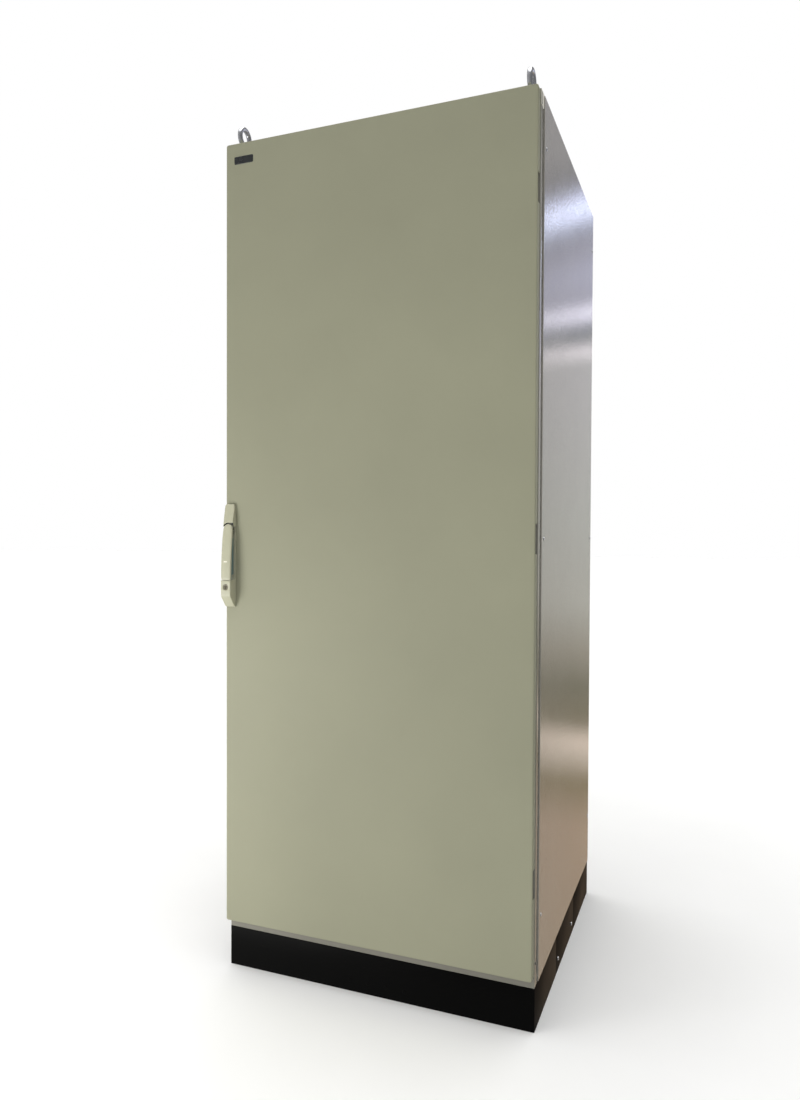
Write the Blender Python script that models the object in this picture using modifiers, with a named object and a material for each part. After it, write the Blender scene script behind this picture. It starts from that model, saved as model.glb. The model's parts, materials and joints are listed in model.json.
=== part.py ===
"""A variable frequency drive in a free-standing sheet-steel cabinet, as separate sub-parts.

Metres. X runs to the right, Y to the back and Z up. The origin is on the floor, under the middle
of the whole object. Depths are counted backwards from the outer face of the door.
"""

import math

import bmesh
import bpy
from mathutils import Matrix, Vector

# ---- Driving dimensions ----
WIDTH = 0.800
DEPTH = 0.800
PLINTH_HEIGHT = 0.100
BODY_HEIGHT = 2.000
HANDLE_PROUD = 0.026
GAP = 0.0003
MARGIN = 0.010

FRONT = (HANDLE_PROUD - DEPTH) / 2
TOP = PLINTH_HEIGHT + BODY_HEIGHT

# ---- Frame ----
SHEET = 0.0015
FRAME_SHEET = 0.002
FRAME_FRONT = 0.0245
FRAME_BACK = 0.7775
RAIL = 0.045
NOSE_X = 0.398
INNER_X = 0.3865
NOSE_DEPTH = 0.030
NOSE_BACK = FRAME_FRONT + NOSE_DEPTH
RING_LOW = PLINTH_HEIGHT + GAP
RING_HEIGHT = 0.050
RING_TOP = TOP - 0.002
NOSE_HEIGHT = 0.024
TOP_NOSE_HEIGHT = 0.033
POST_LOW = RING_LOW + NOSE_HEIGHT
POST_HIGH = TOP - TOP_NOSE_HEIGHT
POST_REACH = 0.0525
POST_TAIL = 0.041
REAR_POST_REACH = 0.046
REAR_POST_TAIL = 0.087
REAR_POST_RETURN = 0.016
POST_CLEAR = 0.0013
ROOF_X = 0.3880

# ---- Plinth ----
PLINTH_X = 0.3985
PLINTH_BACK = 0.7985
PLINTH_SHEET = 0.0025
PLINTH_FLANGE = 0.030
SEAM_FRONT = 0.284
SEAM_REAR = 0.541

# ---- Door and hinges ----
DOOR_X = 0.397
DOOR_LOW = 0.1255
DOOR_HIGH = 2.099
DOOR_DEPTH = 0.022
DOOR_SHEET = 0.002
HINGE_X = 0.390
HINGE_DEPTH = 0.011
HINGE_HEIGHTS = (("lower", 0.340), ("middle", 1.110), ("upper", 1.880))
KNUCKLE_RADIUS = 0.004
PIN_RADIUS = 0.0025
BRACKET_HEIGHT = 0.034
LEAF_HEIGHT = 0.066

# ---- Handle, lock and rods ----
HANDLE_X = -0.3825
HANDLE_HALF = 0.014
HANDLE_TOP = 1.194
HANDLE_BOTTOM = 0.933
TURN_Z = 1.131
LEVER_REACH = 0.130
HEAD_RADIUS = 0.013
RECESS_RADIUS = 0.0155
HANDLE_BASE = 0.0045
LOCK_Z = 0.984
LOCK_RADIUS = 0.0072
LOCK_FRONT = 0.0250
LOCK_FOOT = 0.0045
TILT_PROUD = 0.009
SPINDLE_RADIUS = 0.0048
BOW_LENGTH = 0.185
CAP_PROUD = 0.005

# ---- Lifting eyes ----
EYE_X = 0.372
EYE_FRONT = 0.046
EYE_REAR = 0.755
EYE_RING = 0.0215
EYE_BAR = 0.0062
EYE_HEIGHT = 0.060
EYE_SHANK = 0.006
EYE_HOLE = EYE_SHANK + 2 * GAP

# ---- Mounting plate and the gear on it ----
PLATE_X = 0.3495
PLATE_FRONT = 0.660
PLATE_SHEET = 0.003
GEAR_BACK = PLATE_FRONT - GAP
DRIVE_LEFT = -0.290
DRIVE_RIGHT = -0.006
DRIVE_X = (DRIVE_LEFT + DRIVE_RIGHT) / 2
DRIVE_LOW = 0.860
DRIVE_HIGH = 1.740
CHASSIS_FRONT = 0.355
COVER_FRONT = 0.293
KEYPAD_FRONT = 0.272
FAN_DEPTH = 0.565
FAN_Z = 0.8815
FAN_RADIUS = 0.054
KEY_RADIUS = 0.0066
KEY_Z = 1.528
KEYS = (("key_start", DRIVE_X - 0.022), ("key_stop", DRIVE_X + 0.022))
HEATSINK_FINS = 17
HEATSINK_FRONT = 0.545
BREAKER_X = 0.205
TOGGLE_Z = 1.818
TOGGLE_DEPTH = 0.565
COIL_PITCH = 0.125
REACTOR_X = -0.140
REACTOR_Z = 0.430
REACTOR_FRONT = 0.520
REACTOR_BACK = 0.610
CORE_LEG = 0.050
GLAND_DEPTH = 0.220
GLANDS = (("line", 0.120), ("motor", 0.250))
GRILLE_HEIGHTS = (("inlet", 0.420), ("outlet", 1.760))
GRILLE_HALF = 0.1275
GRILLE_TUB_HALF = 0.110
REAR_PANEL_FACE = 0.7895

for old in list(bpy.data.objects):
    bpy.data.objects.remove(old)


def new_collection(name):
    group = bpy.data.collections.new(name)
    bpy.context.scene.collection.children.link(group)
    return group


PARTS = new_collection("variable_frequency_drive")
CUTTERS = new_collection("cutters")


def finish(name, colour, roughness, metallic=0.0):
    """A material for one kind of surface."""
    made = bpy.data.materials.new(name)
    made.use_nodes = True
    shader = made.node_tree.nodes["Principled BSDF"]
    shader.inputs["Base Color"].default_value = (*colour, 1.0)
    shader.inputs["Roughness"].default_value = roughness
    shader.inputs["Metallic"].default_value = metallic
    made.diffuse_color = (*colour, 1.0)
    return made


DOOR_PAINT = finish("door_paint", (0.42, 0.42, 0.34), 0.45)
PANEL_PAINT = finish("panel_paint", (0.45, 0.43, 0.40), 0.25)
PLINTH_PAINT = finish("plinth_paint", (0.02, 0.02, 0.02), 0.35)
HANDLE_PLASTIC = finish("handle_plastic", (0.46, 0.45, 0.35), 0.40)
GALVANISED = finish("galvanised_steel", (0.55, 0.56, 0.56), 0.45, 1.0)
ZINC = finish("zinc_plate", (0.62, 0.63, 0.64), 0.30, 1.0)
DARK_PLASTIC = finish("dark_plastic", (0.05, 0.05, 0.055), 0.45)
DRIVE_PAINT = finish("drive_shell", (0.28, 0.29, 0.30), 0.45)
ALUMINIUM = finish("aluminium", (0.70, 0.71, 0.72), 0.40, 1.0)
COPPER = finish("copper", (0.72, 0.38, 0.22), 0.35, 1.0)
BOARD = finish("circuit_board", (0.02, 0.16, 0.08), 0.50)
CAPACITOR = finish("capacitor_can", (0.05, 0.06, 0.10), 0.40)
CORE_STEEL = finish("core_steel", (0.16, 0.15, 0.14), 0.55, 0.6)
COIL_WRAP = finish("coil_wrap", (0.45, 0.33, 0.16), 0.60)
FOAM = finish("foam_seal", (0.06, 0.06, 0.06), 0.90)
START_KEY = finish("start_key", (0.04, 0.32, 0.10), 0.45)
STOP_KEY = finish("stop_key", (0.50, 0.04, 0.03), 0.45)


def at_depth(distance):
    """World Y at this distance behind the door's outer face."""
    return FRONT + distance


def middle_of(low, high):
    return [(a + b) / 2 for a, b in zip(low, high)]


# ---- Mesh helpers: each adds a shape to a bmesh in world coordinates ----


def add_box(bm, low, high):
    size = [b - a for a, b in zip(low, high)]
    place = Matrix.Translation(middle_of(low, high)) @ Matrix.Diagonal((*size, 1.0))
    return bmesh.ops.create_cube(bm, size=1.0, matrix=place)["verts"]


AXIS_TURN = {
    "X": Matrix.Rotation(math.pi / 2, 4, "Y"),
    "Y": Matrix.Rotation(-math.pi / 2, 4, "X"),
    "Z": Matrix.Identity(4),
}


def add_cylinder(bm, middle, radius, length, axis="Z", sides=20):
    place = Matrix.Translation(middle) @ AXIS_TURN[axis]
    bmesh.ops.create_cone(
        bm, cap_ends=True, segments=sides, radius1=radius, radius2=radius, depth=length, matrix=place
    )


def world_place(obj):
    """World position of an empty, through the empties that it hangs from."""
    place = Vector()
    while obj:
        place += obj.location
        obj = obj.parent
    return place


def make_object(name, bm, material=None, origin=(0, 0, 0), parent=None, group=None):
    """Puts the bmesh in an object whose origin is at the given world point."""
    bmesh.ops.translate(bm, verts=bm.verts, vec=-Vector(origin))
    mesh = bpy.data.meshes.new(name)
    bm.to_mesh(mesh)
    bm.free()
    obj = bpy.data.objects.new(name, mesh)
    (group or PARTS).objects.link(obj)
    obj.parent = parent
    obj.location = Vector(origin) - world_place(parent)
    if material:
        mesh.materials.append(material)
    return obj


def box(name, low, high, material, parent=None):
    bm = bmesh.new()
    add_box(bm, low, high)
    return make_object(name, bm, material, middle_of(low, high), parent)


def boxes(name, pairs, material):
    """Several boxes, as the union of the first with each of the others."""
    first = box(name, *pairs[0], material)
    for low, high in pairs[1:]:
        join(first, tool_box(name, low, high))
    return first


def as_tool(obj):
    obj.hide_render = True
    obj.display_type = "WIRE"
    return obj


def tool_box(name, low, high):
    return tool_boxes(name, [(low, high)])


def tool_boxes(name, pairs):
    """One tool made of boxes that lie clear of each other."""
    bm = bmesh.new()
    for low, high in pairs:
        add_box(bm, low, high)
    return as_tool(make_object(name + "_tool", bm, group=CUTTERS))


def tool_cylinder(name, middle, radius, length, axis="Z", sides=20):
    bm = bmesh.new()
    add_cylinder(bm, middle, radius, length, axis, sides)
    return as_tool(make_object(name + "_tool", bm, group=CUTTERS))


def combine(obj, tool, operation):
    step = obj.modifiers.new(operation.lower(), "BOOLEAN")
    step.operation = operation
    step.object = tool
    return obj


def cut(obj, tool):
    return combine(obj, tool, "DIFFERENCE")


def join(obj, tool):
    return combine(obj, tool, "UNION")


def round_edges(obj, width, segments=2):
    step = obj.modifiers.new("rounding", "BEVEL")
    step.width = width
    step.segments = segments
    step.limit_method = "ANGLE"
    step.angle_limit = math.radians(40)
    return obj


def pan(name, low, high, open_side, wall, material, parent=None):
    """A box that is open on one side, such as (0, 1, 0), with walls of this thickness."""
    bm = bmesh.new()
    add_box(bm, low, high)
    bm.normal_update()
    direction = Vector(open_side)
    missing = [face for face in bm.faces if face.normal.dot(direction) > 0.9]
    bmesh.ops.delete(bm, geom=missing, context="FACES")
    obj = make_object(name, bm, material, middle_of(low, high), parent)
    shell = obj.modifiers.new("wall", "SOLIDIFY")
    shell.thickness = wall
    shell.offset = -1
    shell.use_even_offset = True
    return obj


def folded_sheet(name, path, low, high, wall, material, mirror_x=1):
    """A sheet folded along a path of (x, depth) points, from one height to another."""
    bm = bmesh.new()
    ends = []
    for level in (low, high):
        ends.append([bm.verts.new((mirror_x * x, at_depth(depth), level)) for x, depth in path])
    for index in range(len(path) - 1):
        bm.faces.new((ends[0][index], ends[0][index + 1], ends[1][index + 1], ends[1][index]))
    bmesh.ops.recalc_face_normals(bm, faces=bm.faces)
    obj = make_object(name, bm, material)
    shell = obj.modifiers.new("sheet", "SOLIDIFY")
    shell.thickness = wall
    shell.offset = 0
    shell.use_even_offset = True
    return obj


OUTLINE_TURN = {
    "YZ": Matrix(((0, 0, 1, 0), (1, 0, 0, 0), (0, 1, 0, 0), (0, 0, 0, 1))),
    "XZ": Matrix(((1, 0, 0, 0), (0, 0, -1, 0), (0, 1, 0, 0), (0, 0, 0, 1))),
}


def outline_mesh(points, plane, level, thickness):
    """A filled outline in this plane, thickened evenly about the level, as a bmesh."""
    curve = bpy.data.curves.new("outline", "CURVE")
    curve.dimensions = "2D"
    curve.fill_mode = "BOTH"
    curve.extrude = thickness / 2
    spline = curve.splines.new("POLY")
    spline.points.add(len(points) - 1)
    for point, (u, v) in zip(spline.points, points):
        point.co = (u, v, 0, 1)
    spline.use_cyclic_u = True
    holder = bpy.data.objects.new("outline", curve)
    bpy.context.scene.collection.objects.link(holder)
    graph = bpy.context.evaluated_depsgraph_get()
    mesh = bpy.data.meshes.new_from_object(holder.evaluated_get(graph))
    bm = bmesh.new()
    bm.from_mesh(mesh)
    bmesh.ops.remove_doubles(bm, verts=bm.verts, dist=1e-6)
    bmesh.ops.transform(bm, matrix=OUTLINE_TURN[plane], verts=bm.verts)
    shift = {"YZ": (level, 0, 0), "XZ": (0, level, 0)}[plane]
    bmesh.ops.translate(bm, verts=bm.verts, vec=shift)
    bmesh.ops.recalc_face_normals(bm, faces=bm.faces)
    bpy.data.objects.remove(holder)
    return bm


def turned(name, profile, place, material, sides):
    """A profile of (radius, height) points, from top to bottom on its outer side, turned on Z."""
    bm = bmesh.new()
    row = [bm.verts.new((radius, 0, height)) for radius, height in profile]
    pairs = list(zip(row, row[1:]))
    if profile[0][0] > 0:
        pairs.append((row[-1], row[0]))
    for first, second in pairs:
        bm.edges.new((first, second))
    obj = make_object(name, bm, material)
    obj.location = Vector(place)
    turn = obj.modifiers.new("turn", "SCREW")
    turn.axis = "Z"
    turn.angle = 2 * math.pi
    turn.screw_offset = 0
    turn.steps = sides
    turn.render_steps = sides
    turn.use_merge_vertices = True
    turn.merge_threshold = 1e-5
    return obj


def joint_axis(name, place, parent=None):
    empty = bpy.data.objects.new(name, None)
    PARTS.objects.link(empty)
    empty.parent = parent
    empty.location = Vector(place) - world_place(parent)
    return empty


def smoothing_nodes(limit):
    """Nodes that shade faces smooth, apart from edges that turn by more than the limit."""
    group = bpy.data.node_groups.new("smooth_by_angle", "GeometryNodeTree")
    group.interface.new_socket("Geometry", in_out="INPUT", socket_type="NodeSocketGeometry")
    group.interface.new_socket("Geometry", in_out="OUTPUT", socket_type="NodeSocketGeometry")
    start = group.nodes.new("NodeGroupInput")
    end = group.nodes.new("NodeGroupOutput")
    angle = group.nodes.new("GeometryNodeInputMeshEdgeAngle")
    gentle = group.nodes.new("FunctionNodeCompare")
    gentle.data_type = "FLOAT"
    gentle.operation = "LESS_EQUAL"
    gentle.inputs["B"].default_value = limit
    faces = group.nodes.new("GeometryNodeSetShadeSmooth")
    faces.domain = "FACE"
    edges = group.nodes.new("GeometryNodeSetShadeSmooth")
    edges.domain = "EDGE"
    group.links.new(start.outputs["Geometry"], faces.inputs["Geometry"])
    group.links.new(faces.outputs["Geometry"], edges.inputs["Geometry"])
    group.links.new(angle.outputs["Unsigned Angle"], gentle.inputs["A"])
    group.links.new(gentle.outputs["Result"], edges.inputs["Shade Smooth"])
    group.links.new(edges.outputs["Geometry"], end.inputs["Geometry"])
    return group


def shade_round_faces():
    """Shades the round faces of every part smooth, after all of its other modifiers."""
    group = smoothing_nodes(math.radians(32))
    for obj in PARTS.objects:
        if obj.type == "MESH":
            obj.modifiers.new("smooth by angle", "NODES").node_group = group


# ---- Plinth ----


def plinth_section(name, depth_low, depth_high, open_front, open_rear):
    """A length of C-section round three sides, or only along both sides where both ends are open."""
    low = (-PLINTH_X, at_depth(depth_low), 0)
    high = (PLINTH_X, at_depth(depth_high), PLINTH_HEIGHT)
    obj = box(name, low, high, PLINTH_PAINT)
    for inset, z_low, z_high in (
        (PLINTH_FLANGE, -MARGIN, PLINTH_HEIGHT + MARGIN),
        (PLINTH_SHEET, PLINTH_SHEET, PLINTH_HEIGHT - PLINTH_SHEET),
    ):
        y_low = low[1] - MARGIN if open_front else low[1] + inset
        y_high = high[1] + MARGIN if open_rear else high[1] - inset
        cut(obj, tool_box(name, (-PLINTH_X + inset, y_low, z_low), (PLINTH_X - inset, y_high, z_high)))
    return obj


def plinth_trim(name, side):
    """The removable C-section between the front and rear plinth sections on one side."""
    outer = side * PLINTH_X
    path = [
        (outer - side * PLINTH_FLANGE, PLINTH_SHEET / 2),
        (outer - side * PLINTH_SHEET / 2, PLINTH_SHEET / 2),
        (outer - side * PLINTH_SHEET / 2, PLINTH_HEIGHT - PLINTH_SHEET / 2),
        (outer - side * PLINTH_FLANGE, PLINTH_HEIGHT - PLINTH_SHEET / 2),
    ]
    bm = bmesh.new()
    rows = []
    for depth in (SEAM_FRONT + GAP, SEAM_REAR - GAP):
        rows.append([bm.verts.new((x, at_depth(depth), z)) for x, z in path])
    for index in range(len(path) - 1):
        bm.faces.new((rows[0][index], rows[0][index + 1], rows[1][index + 1], rows[1][index]))
    bmesh.ops.recalc_face_normals(bm, faces=bm.faces)
    obj = make_object(name, bm, PLINTH_PAINT)
    shell = obj.modifiers.new("sheet", "SOLIDIFY")
    shell.thickness = PLINTH_SHEET
    shell.offset = 0
    shell.use_even_offset = True
    return obj


def build_plinth():
    plinth_section("plinth_front", FRAME_FRONT, SEAM_FRONT, False, True)
    plinth_section("plinth_rear", SEAM_REAR, PLINTH_BACK, True, False)
    plinth_trim("plinth_trim_left", -1)
    plinth_trim("plinth_trim_right", 1)


# ---- Frame rings and corner posts ----


def frame_ring(name, z_low, z_high, nose_low, nose_high, post_from, post_to):
    """A C-section ring, with wider corners at the front, cut back where the four posts stand."""
    obj = box(
        name,
        (-INNER_X, at_depth(FRAME_FRONT), z_low),
        (INNER_X, at_depth(FRAME_BACK), z_high),
        DOOR_PAINT,
    )
    join(
        obj,
        tool_box(
            name,
            (-NOSE_X, at_depth(FRAME_FRONT), nose_low),
            (NOSE_X, at_depth(NOSE_BACK), nose_high),
        ),
    )
    hollow = (z_low + FRAME_SHEET, z_high - FRAME_SHEET)
    inside = INNER_X - FRAME_SHEET
    cut(
        obj,
        tool_box(
            name,
            (-inside, at_depth(FRAME_FRONT + FRAME_SHEET), hollow[0]),
            (inside, at_depth(FRAME_BACK - FRAME_SHEET), hollow[1]),
        ),
    )
    opening = INNER_X - RAIL
    cut(
        obj,
        tool_box(
            name,
            (-opening, at_depth(NOSE_BACK), z_low - MARGIN),
            (opening, at_depth(FRAME_BACK - RAIL), z_high + MARGIN),
        ),
    )
    notches = []
    for side in (-1, 1):
        for inner, near, far in (
            (NOSE_X - POST_REACH, -MARGIN, NOSE_BACK + POST_TAIL + POST_CLEAR),
            (INNER_X - REAR_POST_REACH, FRAME_BACK - REAR_POST_TAIL - POST_CLEAR, DEPTH + MARGIN),
        ):
            edges = sorted((side * (inner - POST_CLEAR), side * (NOSE_X + MARGIN)))
            notches.append(
                ((edges[0], at_depth(near), post_from), (edges[1], at_depth(far), post_to))
            )
    return cut(obj, tool_boxes(name, notches))


def build_frame():
    frame_ring(
        "bottom_frame",
        RING_LOW,
        RING_LOW + RING_HEIGHT,
        RING_LOW,
        RING_LOW + NOSE_HEIGHT - GAP,
        RING_LOW + NOSE_HEIGHT - GAP,
        RING_LOW + RING_HEIGHT + MARGIN,
    )
    top_low = RING_TOP - RING_HEIGHT - GAP
    top = frame_ring(
        "top_frame",
        top_low,
        RING_TOP,
        POST_HIGH + GAP,
        TOP,
        top_low - MARGIN,
        POST_HIGH + GAP,
    )
    seat = ROOF_X + GAP
    cut(
        top,
        tool_box(
            "roof_seat",
            (-seat, at_depth(-MARGIN), RING_TOP),
            (seat, at_depth(NOSE_BACK + MARGIN), TOP + MARGIN),
        ),
    )
    for tool in eye_holes("top_frame"):
        cut(top, tool)


def eye_places():
    return [
        (f"eyebolt_{end}_{hand}", side * EYE_X, at_depth(depth))
        for end, depth in (("front", EYE_FRONT), ("rear", EYE_REAR))
        for hand, side in (("left", -1), ("right", 1))
    ]


def eye_holes(name):
    return [
        tool_cylinder(name, (x, y, TOP), EYE_HOLE, EYE_HEIGHT, sides=12) for _, x, y in eye_places()
    ]


def build_posts():
    half = FRAME_SHEET / 2
    front = [
        (NOSE_X - POST_REACH, FRAME_FRONT + half),
        (NOSE_X - half, FRAME_FRONT + half),
        (NOSE_X - half, NOSE_BACK - half),
        (INNER_X - half, NOSE_BACK - half),
        (INNER_X - half, NOSE_BACK + POST_TAIL),
    ]
    rear = [
        (INNER_X - REAR_POST_REACH, FRAME_BACK - half),
        (INNER_X - half, FRAME_BACK - half),
        (INNER_X - half, FRAME_BACK - REAR_POST_TAIL),
        (INNER_X - REAR_POST_RETURN, FRAME_BACK - REAR_POST_TAIL),
    ]
    for hand, side in (("left", -1), ("right", 1)):
        for end, path in (("front", front), ("rear", rear)):
            folded_sheet(
                f"post_{end}_{hand}", path, POST_LOW, POST_HIGH, FRAME_SHEET, DOOR_PAINT, mirror_x=side
            )


# ---- Panels ----


def build_roof():
    """A flat sheet with a lip folded down inside the top ring's opening."""
    drop, clear = 0.015, 0.0015
    lip_x, lip_front, lip_back = 0.3400, NOSE_BACK + clear, FRAME_BACK - RAIL - clear
    low = RING_TOP + GAP
    roof = box(
        "roof_panel",
        (-ROOF_X, at_depth(FRAME_FRONT), low),
        (ROOF_X, at_depth(FRAME_BACK), TOP),
        PANEL_PAINT,
    )
    join(
        roof,
        tool_box(
            "roof_lip",
            (-lip_x, at_depth(lip_front), low - drop),
            (lip_x, at_depth(lip_back), TOP - SHEET / 2),
        ),
    )
    cut(
        roof,
        tool_box(
            "roof_lip_inside",
            (-lip_x + SHEET, at_depth(lip_front + SHEET), low - drop - MARGIN),
            (lip_x - SHEET, at_depth(lip_back - SHEET), low),
        ),
    )
    for tool in eye_holes("roof_panel"):
        cut(roof, tool)


def build_side_panels():
    rim = 0.0115
    for hand, side in (("left", -1), ("right", 1)):
        edges = sorted((side * (WIDTH / 2 - rim), side * WIDTH / 2))
        pan(
            f"side_panel_{hand}",
            (edges[0], at_depth(NOSE_BACK + 0.001), PLINTH_HEIGHT + GAP),
            (edges[1], at_depth(DEPTH), TOP),
            (-side, 0, 0),
            SHEET,
            PANEL_PAINT,
        )


def build_rear_panel():
    x = 0.3868
    panel = pan(
        "rear_panel",
        (-x, at_depth(FRAME_BACK + GAP), PLINTH_HEIGHT + 0.003),
        (x, at_depth(REAR_PANEL_FACE), TOP - 0.003),
        (0, -1, 0),
        SHEET,
        PANEL_PAINT,
    )
    hole = GRILLE_TUB_HALF + 0.002
    for _, z in GRILLE_HEIGHTS:
        cut(
            panel,
            tool_box(
                "grille_hole",
                (-hole, at_depth(REAR_PANEL_FACE - MARGIN), z - hole),
                (hole, at_depth(REAR_PANEL_FACE + MARGIN), z + hole),
            ),
        )


def build_grilles():
    """Each grille is a slotted plate outside the rear panel with a tub that passes through it."""
    face, flange, tub_depth = DEPTH - 0.0002, 0.008, 0.030
    slots, pitch, slot_height, slot_half = 9, 0.021, 0.009, 0.090
    for kind, z in GRILLE_HEIGHTS:
        name = f"{kind}_grille"
        tub, wall = GRILLE_TUB_HALF, 0.003
        plate = box(
            name,
            (-GRILLE_HALF, at_depth(REAR_PANEL_FACE + GAP), z - GRILLE_HALF),
            (GRILLE_HALF, at_depth(face), z + GRILLE_HALF),
            DARK_PLASTIC,
        )
        join(
            plate,
            tool_box(
                name,
                (-tub, at_depth(face - tub_depth), z - tub),
                (tub, at_depth(face - 0.002), z + tub),
            ),
        )
        inner = tub - wall
        cut(
            plate,
            tool_box(
                name,
                (-inner, at_depth(face - tub_depth - MARGIN), z - inner),
                (inner, at_depth(face - flange), z + inner),
            ),
        )
        rows = []
        for index in range(slots):
            middle = z + (index - (slots - 1) / 2) * pitch
            rows.append(
                (
                    (-slot_half, at_depth(face - 2 * flange), middle - slot_height / 2),
                    (slot_half, at_depth(face + MARGIN), middle + slot_height / 2),
                )
            )
        cut(plate, tool_boxes(name, rows))


def build_gland_plate():
    low = RING_LOW + FRAME_SHEET + GAP
    half_x, front, back = 0.378, 0.033, 0.769
    plate = box(
        "gland_plate",
        (-half_x, at_depth(front), low),
        (half_x, at_depth(back), low + FRAME_SHEET),
        GALVANISED,
    )
    dome, collar, neck, bore = 0.033, 0.039, 0.0312, 0.021
    top, collar_top, foot = 0.036, 0.014, -0.014
    profile = [
        (dome - 0.003, top),
        (dome, top - 0.006),
        (dome, collar_top),
        (collar, collar_top),
        (collar, FRAME_SHEET + GAP),
        (neck, FRAME_SHEET + GAP),
        (neck, -GAP),
        (collar, -GAP),
        (collar, foot + 0.004),
        (dome, foot),
        (bore, foot),
        (bore, top),
    ]
    for kind, x in GLANDS:
        place = (x, at_depth(GLAND_DEPTH), low)
        cut(plate, tool_cylinder(kind, place, neck + 0.001, 0.02, sides=24))
        turned(f"cable_gland_{kind}", profile, place, DARK_PLASTIC, 24)


def build_eyebolts():
    base = TOP + GAP
    ring_middle = base + EYE_HEIGHT - EYE_RING - EYE_BAR
    collar, collar_height, shank_length = 0.0155, 0.004, 0.022
    profile = [
        (0.0, 2 * collar_height),
        (0.010, 2 * collar_height),
        (collar, collar_height),
        (collar, 0.0),
        (EYE_SHANK, 0.0),
        (EYE_SHANK, -shank_length),
        (0.0, -shank_length),
    ]
    for name, x, y in eye_places():
        bolt = turned(name, profile, (x, y, base), ZINC, 16)
        bpy.ops.mesh.primitive_torus_add(
            major_radius=EYE_RING, minor_radius=EYE_BAR, major_segments=20, minor_segments=8
        )
        ring = bpy.context.active_object
        for group in list(ring.users_collection):
            group.objects.unlink(ring)
        CUTTERS.objects.link(ring)
        ring.name = name + "_tool"
        ring.matrix_world = Matrix.Translation((x, y, ring_middle)) @ AXIS_TURN["X"]
        join(bolt, as_tool(ring))


# ---- Mounting plate, drive and power path ----


def build_mounting_plate():
    half, fold = PLATE_SHEET / 2, 0.020
    x = PLATE_X - half
    depth = PLATE_FRONT + half
    path = [(-x, PLATE_FRONT + fold), (-x, depth), (x, depth), (x, PLATE_FRONT + fold)]
    low = RING_LOW + RING_HEIGHT + GAP
    high = RING_TOP - RING_HEIGHT - 2 * GAP
    folded_sheet("mounting_plate", path, low, high, PLATE_SHEET, GALVANISED)


def build_earth_bar():
    """A copper bar on two round standoffs, low on the mounting plate."""
    half_length, half_height, thickness = 0.300, 0.015, 0.005
    bar_depth, z, standoff_x, standoff_radius = 0.640, 0.220, 0.250, 0.009
    bar = box(
        "earth_bar",
        (-half_length, at_depth(bar_depth), z - half_height),
        (half_length, at_depth(bar_depth + thickness), z + half_height),
        COPPER,
    )
    length = GEAR_BACK - bar_depth - thickness / 2
    for x in (-standoff_x, standoff_x):
        middle = (x, at_depth(GEAR_BACK - length / 2), z)
        join(bar, tool_cylinder("earth_bar", middle, standoff_radius, length, "Y", 12))


def build_chassis():
    chassis = pan(
        "drive_chassis",
        (DRIVE_LEFT, at_depth(CHASSIS_FRONT), DRIVE_LOW),
        (DRIVE_RIGHT, at_depth(GEAR_BACK), DRIVE_HIGH),
        (0, -1, 0),
        FRAME_SHEET,
        GALVANISED,
    )
    fan_place = (DRIVE_X, at_depth(FAN_DEPTH), DRIVE_LOW)
    cut(chassis, tool_cylinder("fan_hole", fan_place, FAN_RADIUS + 0.002, 2 * MARGIN, sides=24))
    half, slot, pitch, count, first = 0.105, 0.012, 0.022, 4, 0.540
    vents = []
    for index in range(count):
        near = first + index * pitch
        vents.append(
            (
                (DRIVE_X - half, at_depth(near), DRIVE_HIGH - MARGIN),
                (DRIVE_X + half, at_depth(near + slot), DRIVE_HIGH + MARGIN),
            )
        )
    cut(chassis, tool_boxes("top_vents", vents))


def build_heatsink():
    left, right, z_low, z_high = DRIVE_X - 0.120, DRIVE_X + 0.120, 1.000, 1.620
    front, base, back = HEATSINK_FRONT, 0.014, 0.645
    sink = box(
        "drive_heatsink", (left, at_depth(front), z_low), (right, at_depth(back), z_high), ALUMINIUM
    )
    pitch = (right - left) / HEATSINK_FINS
    fin = 0.35 * pitch
    slots = []
    for index in range(1, HEATSINK_FINS):
        x = left + index * pitch
        slots.append(
            (
                (x - (pitch - fin) / 2, at_depth(front + base), z_low - MARGIN),
                (x + (pitch - fin) / 2, at_depth(back + MARGIN), z_high + MARGIN),
            )
        )
    cut(sink, tool_boxes("fin_slots", slots))


def build_power_module():
    half, thickness, z = 0.070, 0.034, 1.260
    sink_face = HEATSINK_FRONT - GAP
    box(
        "power_module",
        (DRIVE_X - half, at_depth(sink_face - thickness), z - half),
        (DRIVE_X + half, at_depth(sink_face), z + half),
        DARK_PLASTIC,
    )


def build_capacitors():
    """Four cans between the heatsink and a carrier board."""
    half, board_front, board_sheet, z = 0.100, 0.430, 0.006, 1.500
    offset, radius = 0.047, 0.037
    sink_face = HEATSINK_FRONT - GAP
    bank = box(
        "capacitor_bank",
        (DRIVE_X - half, at_depth(board_front), z - half),
        (DRIVE_X + half, at_depth(board_front + board_sheet), z + half),
        CAPACITOR,
    )
    length = sink_face - board_front - 0.004
    for side in (-offset, offset):
        for rise in (-offset, offset):
            middle = (DRIVE_X + side, at_depth(sink_face - length / 2), z + rise)
            join(bank, tool_cylinder("capacitor", middle, radius, length, "Y", 16))


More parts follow.
